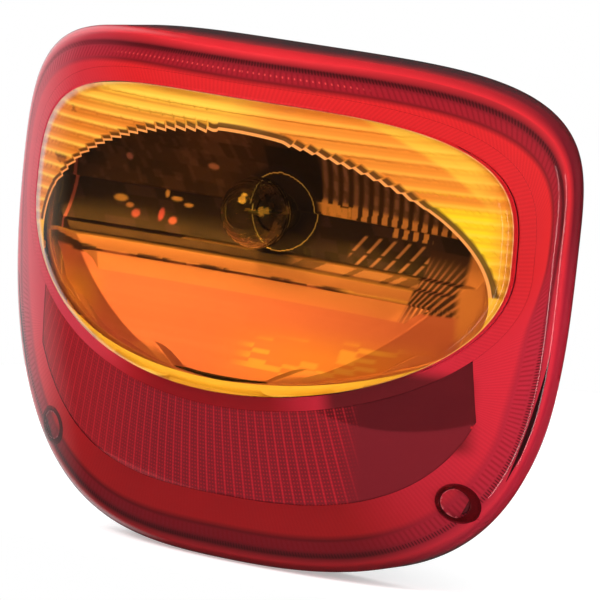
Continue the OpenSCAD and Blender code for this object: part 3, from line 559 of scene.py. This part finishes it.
def recess_cup(side):
    """Tube of a screw recess as a lathed skin: up inside from the screw's hole, over the mouth and down."""
    ring = np.arange(96) * 2 * np.pi / 96
    profile = [(2.3, 4.0), (2.3, 6.0), (5.0, 6.0), (5.2, 6.3), (5.2, None), (RECESS_R, None), (7.2, None),
        (7.2, 4.0)]
    rows = []
    for k, (r, depth) in enumerate(profile):
        p = np.stack([side * SCREW_X + r * np.sin(ring), SCREW_Z + r * np.cos(ring)], -1)
        rows.append(at(p, under(p, (0.35, 0.35, 3.2)[k - 4]) if depth is None else depth))
    return np.array(rows)


cups = []
for side in (-1, 1):
    # The cups are painted darker than the lens round them: painted shade inside the recesses
    cup = ring_piece("recess", recess_cup(side)[::-1], behind(RED_WALL, "#4A060C"), 0.0)
    finish = plain("red acrylic, polished recess", "#4A060C", 0.06, 0.0, **{"Coat Weight": 1.0})
    cups.append(wear(cup, finish))
for side in (-1, 1):
    points, faces = box_points(side * 45 - 6, side * 45 + 6, -1.2, 0, 70.8, 76.5)
    cups.append(wear(make_piece("hook", points, faces), red_clear))
for piece in [red_lens] + cups:
    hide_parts("red_lens")

# %% [markdown]
# ## The amber lens
#
# The window is welded into the red lens. Its inner face carries saw-toothed ribs, except inside the oval,
# which is clear so that the bulb can be seen. Where the ribs end, they leave a toothed step round the oval.

# %% Amber optics
AMBER_WALL = rgb("#FFD070")


def amber_detail(tree, tone, along, strength, height):
    """A painted highlight and a line of painted shade at each rib."""
    tooth = calc(tree, "FRACT", calc(tree, "DIVIDE", height, RIB_PITCH), 0.0)
    # Painted highlight: a bright line on each rib
    rib_highlight = calc(tree, "MULTIPLY", between(tree, tooth, 0.12, 0.34, 0.1), strength)
    tone = tint(tree, tone, calc(tree, "MULTIPLY", rib_highlight, 0.75), behind(AMBER_WALL, "#FFD850"))
    # Painted shade: a dark line on each rib
    dark = calc(tree, "MULTIPLY", between(tree, tooth, 0.62, 0.8, 0.12), strength)
    return tint(tree, tone, calc(tree, "MULTIPLY", dark, 0.7), behind(AMBER_WALL, "#C06010"))


amber_optics = painted("amber acrylic, ribbed inside", 0.35, 0.0, amber_detail)
oval_run = run_along(oval_line(turn))


def tooth_share(run):
    """Place in the current tooth of the step round the oval, from 0 to 1."""
    return np.mod(run / 4.6, 1)


def tooth_height():
    """Height of the teeth round the oval: tall at the upper left, low at the upper right, none elsewhere."""
    degrees = np.degrees(np.where(turn > np.pi, turn - 2 * np.pi, turn))
    return 1.5 * band(-78, -8, degrees, 3) + 1.0 * band(24, 66, degrees, 4)


# %% Amber lens


def amber_rows():
    """Outer face from the middle to the edge, then the ribbed band and the clear oval back to the middle."""
    edge = window_line(turn, 0)
    oval = oval_line(turn, -tooth_height() * tooth_share(oval_run))
    width = np.linalg.norm(edge - oval, axis=-1)
    rows, away, slots = [], [], []
    for f in np.linspace(0.02, 1, 26):
        rows.append(at(edge * f, dome(edge * f)))
        away.append(width)
        slots.append(0)
    steps = [1 - f for f in np.linspace(0, 1, 44)[:-1]]
    for f in steps:
        share = mix(2.9, width, f) / width
        share = np.where(width < 3.5, f, share)[:, None]
        p = mix(oval, edge, share)
        rib = 1.2 * np.mod(p[..., 1] / RIB_PITCH, 1) * (share[:, 0] > 0.03) * smooth(0.5, 2.0, width)
        rows.append(at(p, under(p, LENS_WALL + rib)))
        away.append(share[:, 0] * width)
        slots.append(1)
    for d in (2.5, 1.2, 0.9, 0.0):
        share = (np.minimum(d, width * d / 3.5) / width)[:, None]
        p = mix(oval, edge, share)
        rows.append(at(p, under(p, LENS_WALL)))
        away.append(share[:, 0] * width)
        slots.append(1)
    for f in np.linspace(0.985, 0.02, 24):
        rows.append(at(oval * f, under(oval * f, LENS_WALL)))
        away.append(0 * width)
        slots.append(0)
    return np.array(rows), np.array(away), np.array(slots)


def amber_paint(points, away):
    """Orange ribs with painted highlights to the upper left and right, and the double line round the oval."""
    x, z = points[..., 0], points[..., 2]
    tone = np.broadcast_to(behind(AMBER_WALL, "#EC8A2C"), points.shape)
    # Painted highlight towards the upper left
    upper_left_highlight = band(-75, 5, x, 14) * smooth(44, 52, z)
    tone = mix(tone, behind(AMBER_WALL, "#FFC040"), upper_left_highlight[..., None] * 0.8)
    # Painted highlight at the right end
    right_end_highlight = band(62, 93, x, 5) * band(2, 36, z + 6 * cell_noise(z / RIB_PITCH, 0, 3), 3)
    tone = mix(tone, behind(AMBER_WALL, "#FFD41C"), right_end_highlight[..., None])
    # Painted highlight in a thin band at the upper right
    corner = band(40, 88, x, 6) * band(-1.6, 0.2, -np.abs(np.hypot(x / 94, z / 57.7) - 1.16) * 30, 0.4)
    tone = mix(tone, behind(AMBER_WALL, "#FFE040"), corner[..., None] * 0.6)
    notch = (x < -78) * (cell_noise(z / 3.1, x / 9, 5) > 0.62)
    notch = notch * band(-86, -78, x + 3 * np.mod(z / 3.1, 1), 0.6)
    tone = mix(tone, behind(AMBER_WALL, "#6A3010"), notch[..., None] * 0.8)
    height = np.broadcast_to(tooth_height(), away.shape)
    share = np.broadcast_to(tooth_share(oval_run), away.shape)
    upper = (z > 3) * 1.0
    gap_line = (height > 0.8) * (share < 0.16)
    brown = band(1.05, 2.9, away, 0.12) * upper * (1 - 0.8 * gap_line)
    tone = mix(tone, behind(AMBER_WALL, "#4A2008"), brown[..., None] * 0.92)
    line = (away < 1.05) * upper
    tone = mix(tone, behind(AMBER_WALL, "#F89A50"), line[..., None])
    rim = (z <= 3) * 1.0
    return mix(tone, behind(AMBER_WALL, "#FFB22E"), rim[..., None])


amber_points, amber_away, amber_slots = amber_rows()
amber_height = amber_points[..., 2]
# The second value is the share of the ribs' painted highlight and shade: none close to the oval, more to the
# left
amber_place = np.stack([np.broadcast_to(oval_run, amber_away.shape),
    (amber_away > 3.0) * (0.45 + 0.55 * smooth(10, -30, amber_points[..., 0])), amber_height], -1)
amber = ring_piece("amber_lens_skin", amber_points, amber_paint(amber_points, amber_away), amber_place,
    np.roll(amber_slots, -1), fans=True)
wear(amber, amber_clear, amber_optics)
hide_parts("amber_lens")

# %% [markdown]
# ## The reflex insert
#
# Its back is moulded in rows of prisms that send light back to where it came from. Seen from the side they
# look plum, with a pink line at each row. The rows fan out from a point high above the lens.

# %% Reflex insert
FAN_TOP = 135.0
FAN_STEP = 0.0177


def reflex_detail(tree, tone, rows_at, down, across):
    """Pink lines between the prism rows, and a dot for each prism."""
    left = add(tree, "ShaderNodeMapRange", {1: 46.0, 2: 54.0, 3: 1.0, 4: 0.0}, _0=across).outputs[0]
    dots = calc(tree, "MULTIPLY", wave(tree, rows_at, 1 / 3, 2.0), wave(tree, down, 1.3, 2.0))
    tone = tint(tree, tone, calc(tree, "MULTIPLY", calc(tree, "MULTIPLY", dots, left), 0.55), rgb("#F0A0B8"))
    lines = calc(tree, "MULTIPLY", wave(tree, rows_at, 1.0, 12.0), left)
    return tint(tree, tone, calc(tree, "MULTIPLY", lines, 0.4), rgb("#F8B8D0"))


reflex_optics = painted("red acrylic, prisms behind", 0.35, 0.0, reflex_detail)
t_across = np.linspace(2 * np.pi - REFLEX_T0 - 0.012, REFLEX_T0 + 0.012, 420)
share_up = np.linspace(0, 1, 64)[:, None, None]
reflex_flat = mix(reflex_outer(t_across)[None], window_line(t_across, 5)[None], share_up)
reflex_x, reflex_z = reflex_flat[..., 0], reflex_flat[..., 1]
reflex_place = np.stack([np.arctan2(reflex_x, FAN_TOP - reflex_z) / FAN_STEP,
    np.hypot(reflex_x, FAN_TOP - reflex_z), reflex_x], -1)
reflex_tone = np.broadcast_to(rgb("#7C9AA8"), reflex_flat.shape[:2] + (3,))
# Painted sheen: the insert is lighter towards its left end
reflex_left_sheen = smooth(-20, -75, reflex_x)[..., None]
reflex_tone = mix(reflex_tone, rgb("#A8A0A8"), reflex_left_sheen * 0.7)
zigzag = reflex_x > 87 + 2.2 * np.mod(reflex_z / 2.4, 1) + 0.15 * (reflex_z + 50)
reflex_tone = np.where(zigzag[..., None], rgb("#F4B0B4"), reflex_tone)
# Painted shade: a dark patch at the lower right of the insert
patch_edge = -47.5 + 0.007 * (reflex_x - 60) ** 2
reflex_shade = smooth(patch_edge - 0.5, patch_edge + 0.5, reflex_z) * smooth(36, 44, reflex_x)
reflex_tone = mix(reflex_tone, rgb("#5C7C84"), reflex_shade[..., None])
reflex_front = at(reflex_flat, under(reflex_flat, 3.3))
reflex = slab_piece("reflex_insert_skin", reflex_front, 2.5, reflex_tone, reflex_place)
wear(reflex, reflex_optics)
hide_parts("reflex_insert")

# %% [markdown]
# ## The indicator reflector
#
# Behind the window stands a metallised reflector: a smooth floor, a ledge, a sunk band with slanted bars, and
# a bowl of facets above it. Each facet reflects another part of the room; these reflections, with their
# highlights and shade, are painted on the metal as its tones. The tones are given as the colours that the eye
# sees through the amber wall.

# %% Form of the reflector
SHELF, LEDGE, BAND_LOW, BAND_HIGH, SLOPE = -3.5, 1.0, 5.0, 20.0, 0.4


def reflector_depth(p):
    """Bowl above the shelf and a rising floor below it, with a ledge that stands out and a sunk band."""
    x, z = p[..., 0], p[..., 1]
    step = np.where((z >= SHELF) & (z <= LEDGE), 2.0, np.where((z >= BAND_LOW) & (z <= BAND_HIGH), -2.0, 0.0))
    bowl = 24 * ((np.maximum(z, SHELF) - BULB_Z) / 38.7) ** 2
    free = 9 + 7 * (x / 94) ** 2 + bowl + step - 0.5 * (np.minimum(z, SHELF) - SHELF)
    free = np.minimum(free, under(p, LENS_WALL + 1.2) - 4)
    return mix(under(p, LENS_WALL + 1.2) - 1.1, free, smooth(3.0, 3.9, rim_gap(p)))


def half_width(z):
    """Half of the reflector's width at a height: it covers the top of the chamber wall, 1.2 mm inside the
    window of the solids."""
    b = np.where(z >= 0, 56.5, 40.8)
    power = np.where(z >= 0, 6.0, 2.0)
    return 92.8 * (1 - (np.abs(z) / b).clip(0, 1) ** power) ** (1 / power)


def rim_gap(p):
    """Distance in from the reflector's edge, square to it."""
    x, z = p[..., 0], p[..., 1]
    half = half_width(z)
    slope = (half_width(z + 0.05) - half_width(z - 0.05)) / 0.1
    return (half - np.abs(x)) / np.sqrt(1 + slope ** 2)


def reflector_grid():
    """Rows at each edge of the tiers, and columns that crowd towards both ends."""
    low = -40.7 + 37 * (1 - np.cos(np.linspace(0, np.pi / 2, 62)))
    heights = np.concatenate([low[:-1], np.linspace(SHELF, LEDGE, 10),
        np.linspace(LEDGE + SLOPE, BAND_LOW - SLOPE, 8), np.linspace(BAND_LOW, BAND_HIGH, 34),
        np.linspace(BAND_HIGH + SLOPE, 51.0, 56), np.linspace(51.3, 56.3, 16)])
    u = np.linspace(-1, 1, 430)
    u = np.sign(u) * (1 - (1 - np.abs(u)) ** 1.25)
    x = half_width(heights)[:, None] * u
    return np.stack([x, np.broadcast_to(heights[:, None], x.shape)], -1)


reflector_flat = reflector_grid()
print("reflector grid", reflector_flat.shape[:2])

# %% Tones of the reflector
CHAMBER_TONE = np.array([0.8, 0.58, 0.75])
# Facets that catch a light: x, z, half width, half height and tone
GLINTS = (
    (-59, 10, 1.6, 1.4, "#E0604C"), (-49, 11, 1.1, 2.2, "#E85848"), (-44, 9.5, 1.6, 1.3, "#F07050"),
    (-66, 14.6, 2.6, 1.2, "#F0A868"), (-62, 12.5, 1.5, 0.8, "#E89050"), (-48, 18.6, 0.8, 1.4, "#F8B060"),
    (-44, 17.2, 2.2, 0.8, "#F8B060"), (-39, 15.6, 1.8, 0.7, "#F8B060"), (8, 17.5, 3.0, 1.5, "#6A3A20"),
    (-28, 31, 2.2, 1.1, "#C07050"), (-62, 30, 1.3, 1.2, "#B06040"))


def seen(code):
    """Tone of the metal that looks like this colour through the amber wall, which the light crosses twice."""
    return np.clip(behind(AMBER_WALL, code, 2) * CHAMBER_TONE, 0, 0.96)


def lay(tone, code, mask):
    return mix(tone, seen(code), np.clip(mask, 0, 1)[..., None])


def reflector_reflections(p):
    # All of these tones are painted reflections, highlights and shade on the metal
    x, z = p[..., 0], p[..., 1]
    tone = np.broadcast_to(seen("#E0702C"), p.shape[:-1] + (3,))
    # Floor: fine streaks; painted light, brighter and warmer at the lower right and along the lower left
    # edge;
    # and painted glints near the window's lower edge
    streak = cell_noise(z / 1.7 + 0.015 * x, 0, 1) * 0.5 + 0.5 * cell_noise(z / 3.5, x / 60, 2)
    tone = lay(tone, "#C85820", 0.35 * streak)
    tone = lay(tone, "#F89020", smooth(-20, 40, x) * smooth(-14, -28, z) * 0.8)
    tone = lay(tone, "#F8A020", smooth(-55, -75, x) * smooth(-6, -20, z) * 0.8)
    glints = cell_noise(x / 7, z / 1.6, 9) > 0.72
    tone = lay(tone, "#FFE028", glints * band(5, 62, x, 6) * band(-35, -25 + 0.1 * x, z, 2))
    # Bowl above the band, painted dark: bricks to the left and flutes to the right in painted reflected
    # tones, painted highlights at the flutes' feet and on a bright strip, and a dark patch of painted shade
    # over the bulb
    brick = cell_noise((x + 3 * np.floor(z / 5)) / 8.5 + 0.06 * z, z / 5, 4)
    fine = cell_noise(x / 1.7 + 0.2 * z, z / 3, 6)
    bowl = z > LEDGE + 0.2
    tone = lay(tone, "#3E2208", bowl * 1.0)
    tone = lay(tone, "#7A4618", bowl * (x < 10) * (0.55 * brick * brick + 0.25 * (fine > 0.8)))
    flute = np.abs(np.mod((x - 0.12 * (z - 20)) / 4.3, 1) - 0.5) * 2
    right = bowl * smooth(14, 18, x) * (z > BAND_HIGH)
    tone = lay(tone, "#A86A2C", right * (0.25 + 0.5 * fine) * smooth(0.2, 0.9, flute))
    foot = right * band(20, 27 - 0.06 * x, z, 1.0) * (flute > 0.45)
    tone = lay(tone, "#E89448", foot)
    tone = lay(tone, "#150B04", band(-5, 17, x, 0.3) * band(25.5, 42, z, 0.3))
    strip = band(-7, 29, x, 0.4) * band(20.2, 24.5, z, 0.2)
    tone = lay(tone, "#F8A050", strip * (0.75 + 0.25 * (fine > 0.4)))
    tone = lay(tone, "#3A1C08", strip * (fine > 0.86))
    # Sunk band: painted shade, near black, with painted highlights on slanted bars and flutes to the right
    # and painted pink glints to the left
    sunk = (z >= BAND_LOW - 0.4) & (z <= BAND_HIGH)
    tone = lay(tone, "#22120A", sunk * 0.9)
    tone = lay(tone, "#4A2A14", sunk * (cell_noise(x / 6 + 0.1 * z, z / 4, 8) > 0.7) * 0.6)
    bar = np.mod((x - 0.75 * (z - 5)) / 6.2, 1)
    rows = band(5.2, 9.0, z, 0.2) + band(9.8, 15.4, z, 0.2)
    tone = lay(tone, "#D08444", rows * band(30, 64, x, 1) * band(0.3, 0.52, bar, 0.06))
    tone = lay(tone, "#E89448", band(46, 63, x, 0.5) * band(16.7, 20.0, z, 0.2) * (flute > 0.5))
    for gx, gz, wide, tall, code in GLINTS:
        tone = lay(tone, code, smooth(1.3, 0.7, np.hypot((x - gx) / wide, (z - gz) / tall)))
    # Facets over the ledge, painted dark to the left and bright to the right; painted highlights along the
    # band's lower edge, over the ledge and along its top; the ledge's left end in painted shade; below the
    # ledge a wavy line of painted shade, and a painted yellow glint along it to the right
    facets = band(LEDGE + 0.2, BAND_LOW - 0.4, z, 0.1)
    tone = lay(tone, "#52300F", facets * (x < 12))
    bright = 0.35 + 0.65 * (cell_noise(x / 3.2 - 0.5 * z, 0, 11) > 0.4)
    tone = lay(tone, "#E08C48", facets * smooth(6, 16, x) * bright)
    tone = lay(tone, "#F8A85C", band(BAND_LOW - 0.5, BAND_LOW - 0.05, z, 0.1) * band(-37, 62, x, 0.6))
    tone = lay(tone, "#EE8E48", band(SHELF, LEDGE, z, 0.1))
    tone = lay(tone, "#FFB468", band(LEDGE - 0.5, LEDGE + 0.1, z, 0.1))
    wobble = 0.7 * (cell_noise(x / 5, 0, 12) - 0.3) + 0.4 * np.sin(x / 4.1)
    tone = lay(tone, "#5A2C10", band(-4.4 - wobble * 0.8, -3.3 + wobble, z, 0.15) * (x < 38))
    tone = lay(tone, "#5A3010", band(-4.2, -0.4 - 0.11 * (x + 88), z, 0.2) * (x < -66))
    tone = lay(tone, "#FFCC3C", band(-4.3, -3.0 + wobble, z, 0.2) * smooth(30, 40, x))
    # Diagonal flutes beyond the seam, dark with painted highlights; the two end walls, painted bright at the
    # right and in painted shade at the left; painted shade round the bulb opening; painted reflections on the
    # flange's lip at the bottom and the left, and a line along the left end
    beyond = smooth(62.5, 63.5, x) * (z > -6) * (z < 15)
    spoke = np.mod(np.arctan2(z + 30, x - 50) / 0.055, 1)
    tone = lay(tone, "#4A2810", beyond)
    tone = lay(tone, "#D88040", beyond * band(0.25, 0.62, spoke, 0.08) * smooth(14, 2, z))
    tone = lay(tone, "#F09040", smooth(79, 82, x) * (z < 16))
    tone = lay(tone, "#3A2410", smooth(-84.5, -86.5, x) * (z > 1))
    tone = lay(tone, "#20120A", smooth(17.5, 14.5, np.hypot(x, z - BULB_Z)))
    tone = lay(tone, "#F08C30", smooth(3.6, 2.4, rim_gap(p)) * (z < 0))
    tone = lay(tone, "#C86C2C", smooth(3.6, 2.4, rim_gap(p)) * (x < 0) * (z >= 0))
    return lay(tone, "#C8602C", band(-85.2, -84.0, x - 0.09 * (z - 10), 0.2) * (z > 1))


paint = reflector_reflections(reflector_flat)
reflector_front = at(reflector_flat, reflector_depth(reflector_flat))
reflector = slab_piece("indicator_reflector_skin", reflector_front, 0.7, paint)
wear(reflector, painted("metallised plastic, faceted", 0.38, 0.35))
cut_round(reflector, 0, BULB_Z, BULB_OPENING_R)
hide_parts("indicator_reflector")

# %% [markdown]
# ## Finishes of the solids
#
# The other pieces keep the shape of the CAD model. Each gets the finish of its real material.

# %% Finishes
finishes = {
    ("housing",): grained("black moulded plastic, fine grain", "#202124", 0.5, 0.0, 1.2, 0.12),
    ("lens_seal",): grained("seal rubber, matt", "#141414", 0.8, 0.0, 0.8, 0.1),
    ("stop_tail_reflector",): grained("metallised plastic, smooth", "#D4D4D8", 0.12, 0.9, 6.0, 0.04),
    ("indicator_bulb_filament", "stop_tail_bulb_filaments"):
        grained("tungsten wire, drawn", "#6E6C6A", 0.4, 0.9, 0.3, 0.1),
    ("indicator_bulb_cap", "stop_tail_bulb_cap"): grained("brass, pressed", "#B89858", 0.3, 1.0, 1.0, 0.06),
    ("indicator_bulb_insulator", "stop_tail_bulb_insulator"):
        grained("black insulation, moulded", "#1A1614", 0.45, 0.0, 0.6, 0.1),
    ("indicator_bulb_contact", "stop_tail_bulb_contacts"):
        grained("solder, dull", "#A8A8A6", 0.4, 0.9, 0.5, 0.1),
    ("indicator_socket", "stop_tail_socket"): grained("steel sheet, plated", "#A9ABAD", 0.28, 1.0, 1.5, 0.05),
    ("earth_strip", "indicator_feed_strip", "stop_feed_strip", "tail_feed_strip"):
        grained("brass strip, stamped", "#C0A060", 0.3, 1.0, 1.2, 0.06),
    ("lens_screws", "mounting_studs"): grained("steel, bright zinc plated", "#B4B6B8", 0.25, 1.0, 0.8, 0.08),
    ("rear_pad",): grained("closed-cell foam, dark", "#26262A", 0.95, 0.0, 0.5, 0.25),
    ("vent_patch",): grained("vent membrane, white fibre", "#E2E2DE", 0.9, 0.0, 0.4, 0.06),
    ("indicator_bulb_glass", "stop_tail_bulb_glass"):
        plain("bulb glass, clear", "#F4F7F6", 0.0, 0.0, **{"Transmission Weight": 1.0, "IOR": 1.5}),
}
for names, finish in finishes.items():
    for name in names:
        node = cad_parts[name]
        for k in range(len(node.data.materials)):
            node.data.materials[k] = finish
        if not node.data.materials:
            node.data.materials.append(finish)
print(sum(len(names) for names in finishes), "solids finished")

# %% [markdown]
# ## Camera, floor and light
#
# The photo was taken from the right and a little above, from over two metres away with a long lens. The
# cluster stands on a small pale floor. The room in front of it is dim, so that the clear plastic shows what
# is behind it, and two tall narrow lights at the right give the long highlights down the side of the lens.

# %% Camera
CAM_AZ, CAM_EL, CAM_ROLL = np.radians([31.997, 6.353, 6.232])
TARGET = np.array([19.0, -21.6, -9.04]) * MM
CAM_FAR = 2.1825
FOCAL_PIXELS, PHOTO_PIXELS, FILM = 6285.33, 600, 36


def camera_axes():
    """Right, up and back vectors of the camera, turned by the roll."""
    sa, ca, se, ce = np.sin(CAM_AZ), np.cos(CAM_AZ), np.sin(CAM_EL), np.cos(CAM_EL)
    back = np.array([sa * ce, -ca * ce, se])
    right = np.array([ca, sa, 0])
    up = np.array([-sa * se, ca * se, ce])
    cr, sr = np.cos(CAM_ROLL), np.sin(CAM_ROLL)
    return cr * right + sr * up, -sr * right + cr * up, back


right, up, back = camera_axes()
camera_data = bpy.data.cameras.new("camera")
camera_data.sensor_width = FILM
camera_data.lens = FOCAL_PIXELS * FILM / PHOTO_PIXELS
camera_data.clip_end = 50
camera = bpy.data.objects.new("camera", camera_data)
bpy.context.scene.collection.objects.link(camera)
place = TARGET + back * CAM_FAR
camera.matrix_world = Matrix([[right[k], up[k], back[k], place[k]] for k in range(3)] + [[0, 0, 0, 1]])
bpy.context.scene.camera = camera
print("lens", round(camera_data.lens, 1), "mm at", np.round(place, 3))

# %% Floor
FLOOR_R, FLOOR_BACK = 0.34, 0.28
floor_z = cad_box[0][2] - 0.0005
rim = np.arange(96) * 2 * np.pi / 96
rim_points = np.stack([FLOOR_R * np.cos(rim), FLOOR_BACK + FLOOR_R * np.sin(rim), np.full(96, floor_z)], -1)
floor_mesh = bpy.data.meshes.new("floor")
floor_mesh.from_pydata(rim_points.tolist(), [], [list(range(96))])
floor = bpy.data.objects.new("floor", floor_mesh)
bpy.context.scene.collection.objects.link(floor)
floor_finish, tree, out = new_material("floor, pale paper")
path = add(tree, "ShaderNodeLightPath")
seen_by = calc(tree, "MAXIMUM", path.outputs["Is Camera Ray"], path.outputs["Is Glossy Ray"])
seen_by = calc(tree, "MAXIMUM", seen_by, path.outputs["Is Transmission Ray"])
paper = add(tree, "ShaderNodeBsdfPrincipled", {"Base Color": (0.86, 0.86, 0.86, 1), "Roughness": 0.9,
    "Specular IOR Level": 0.1, "Emission Color": (1, 1, 1, 1)},
    Emission_Strength=calc(tree, "MULTIPLY", seen_by, 0.35))
tree.links.new(paper.outputs[0], out.inputs[0])
floor.data.materials.append(floor_finish)
# The photo shows no reflection of the floor in the lens
floor.visible_glossy = False
print("floor at", round(floor_z, 4))

# %% Room
FRONT_SHINE = 0.04
BEHIND_PLASTIC = 1.8


def room():
    """A white room. The camera sees white all round. What shines in the plastic is a dim front and a white
    wall at the left. Light that has met a matt face comes evenly from all sides. Where it also has to pass
    clear plastic it is stronger, because the plastic keeps nearly half of it."""
    world = bpy.data.worlds.new("studio")
    bpy.context.scene.world = world
    world.use_nodes = True
    tree = world.node_tree
    tree.nodes.clear()
    out = add(tree, "ShaderNodeOutputWorld")
    path = add(tree, "ShaderNodeLightPath")
    where = add(tree, "ShaderNodeTexCoord")
    split = add(tree, "ShaderNodeSeparateXYZ", _0=where.outputs["Generated"])
    step = {"interpolation_type": "SMOOTHSTEP"}
    left = add(tree, "ShaderNodeMapRange", {**step, 1: -0.6, 2: -0.78}, Value=split.outputs["X"])
    back = add(tree, "ShaderNodeMapRange", {**step, 1: -0.1, 2: 0.35}, Value=split.outputs["Y"])
    wall = calc(tree, "MULTIPLY", left.outputs[0], back.outputs[0])
    shine = calc(tree, "MAXIMUM", calc(tree, "MAXIMUM", wall, FRONT_SHINE), path.outputs["Is Camera Ray"])
    through = calc(tree, "MULTIPLY", path.outputs["Is Transmission Ray"], BEHIND_PLASTIC - 1.0)
    matt = calc(tree, "ADD", through, 1.0)
    scattered = calc(tree, "MINIMUM", path.outputs["Diffuse Depth"], 1.0)
    level = add(tree, "ShaderNodeMix", {}, _0=scattered, _2=shine, _3=matt).outputs[0]
    sky = add(tree, "ShaderNodeBackground", {"Color": (1, 1, 1, 1)}, Strength=level)
    tree.links.new(sky.outputs[0], out.inputs[0])


room()
print("room ready")

# %% Lights


def area_light(name, place, size, height, power, in_gloss=True):
    """A rectangular light, turned towards the origin."""
    data = bpy.data.lights.new(name, "AREA")
    data.shape = "RECTANGLE"
    data.size = size
    data.size_y = height
    data.energy = power
    lamp = bpy.data.objects.new(name, data)
    bpy.context.scene.collection.objects.link(lamp)
    lamp.location = place
    lamp.rotation_euler = Vector(place).to_track_quat("Z", "Y").to_euler()
    lamp.visible_glossy = in_gloss
    return lamp


area_light("key", (-0.9, -1.6, 1.3), 1.0, 1.0, 30, False)
area_light("fill", (1.4, -1.2, 0.3), 1.0, 1.0, 12, False)
area_light("tall strip, front right", (1.15, -1.0, -0.45), 0.07, 1.3, 1.4)
area_light("tall strip, right", (1.45, -0.46, -0.35), 0.09, 1.3, 1.6)
bpy.context.scene.view_settings.view_transform = "Standard"
print("lights ready")

# %% Finish
print("cad box", np.round(cad_box, 4).tolist())
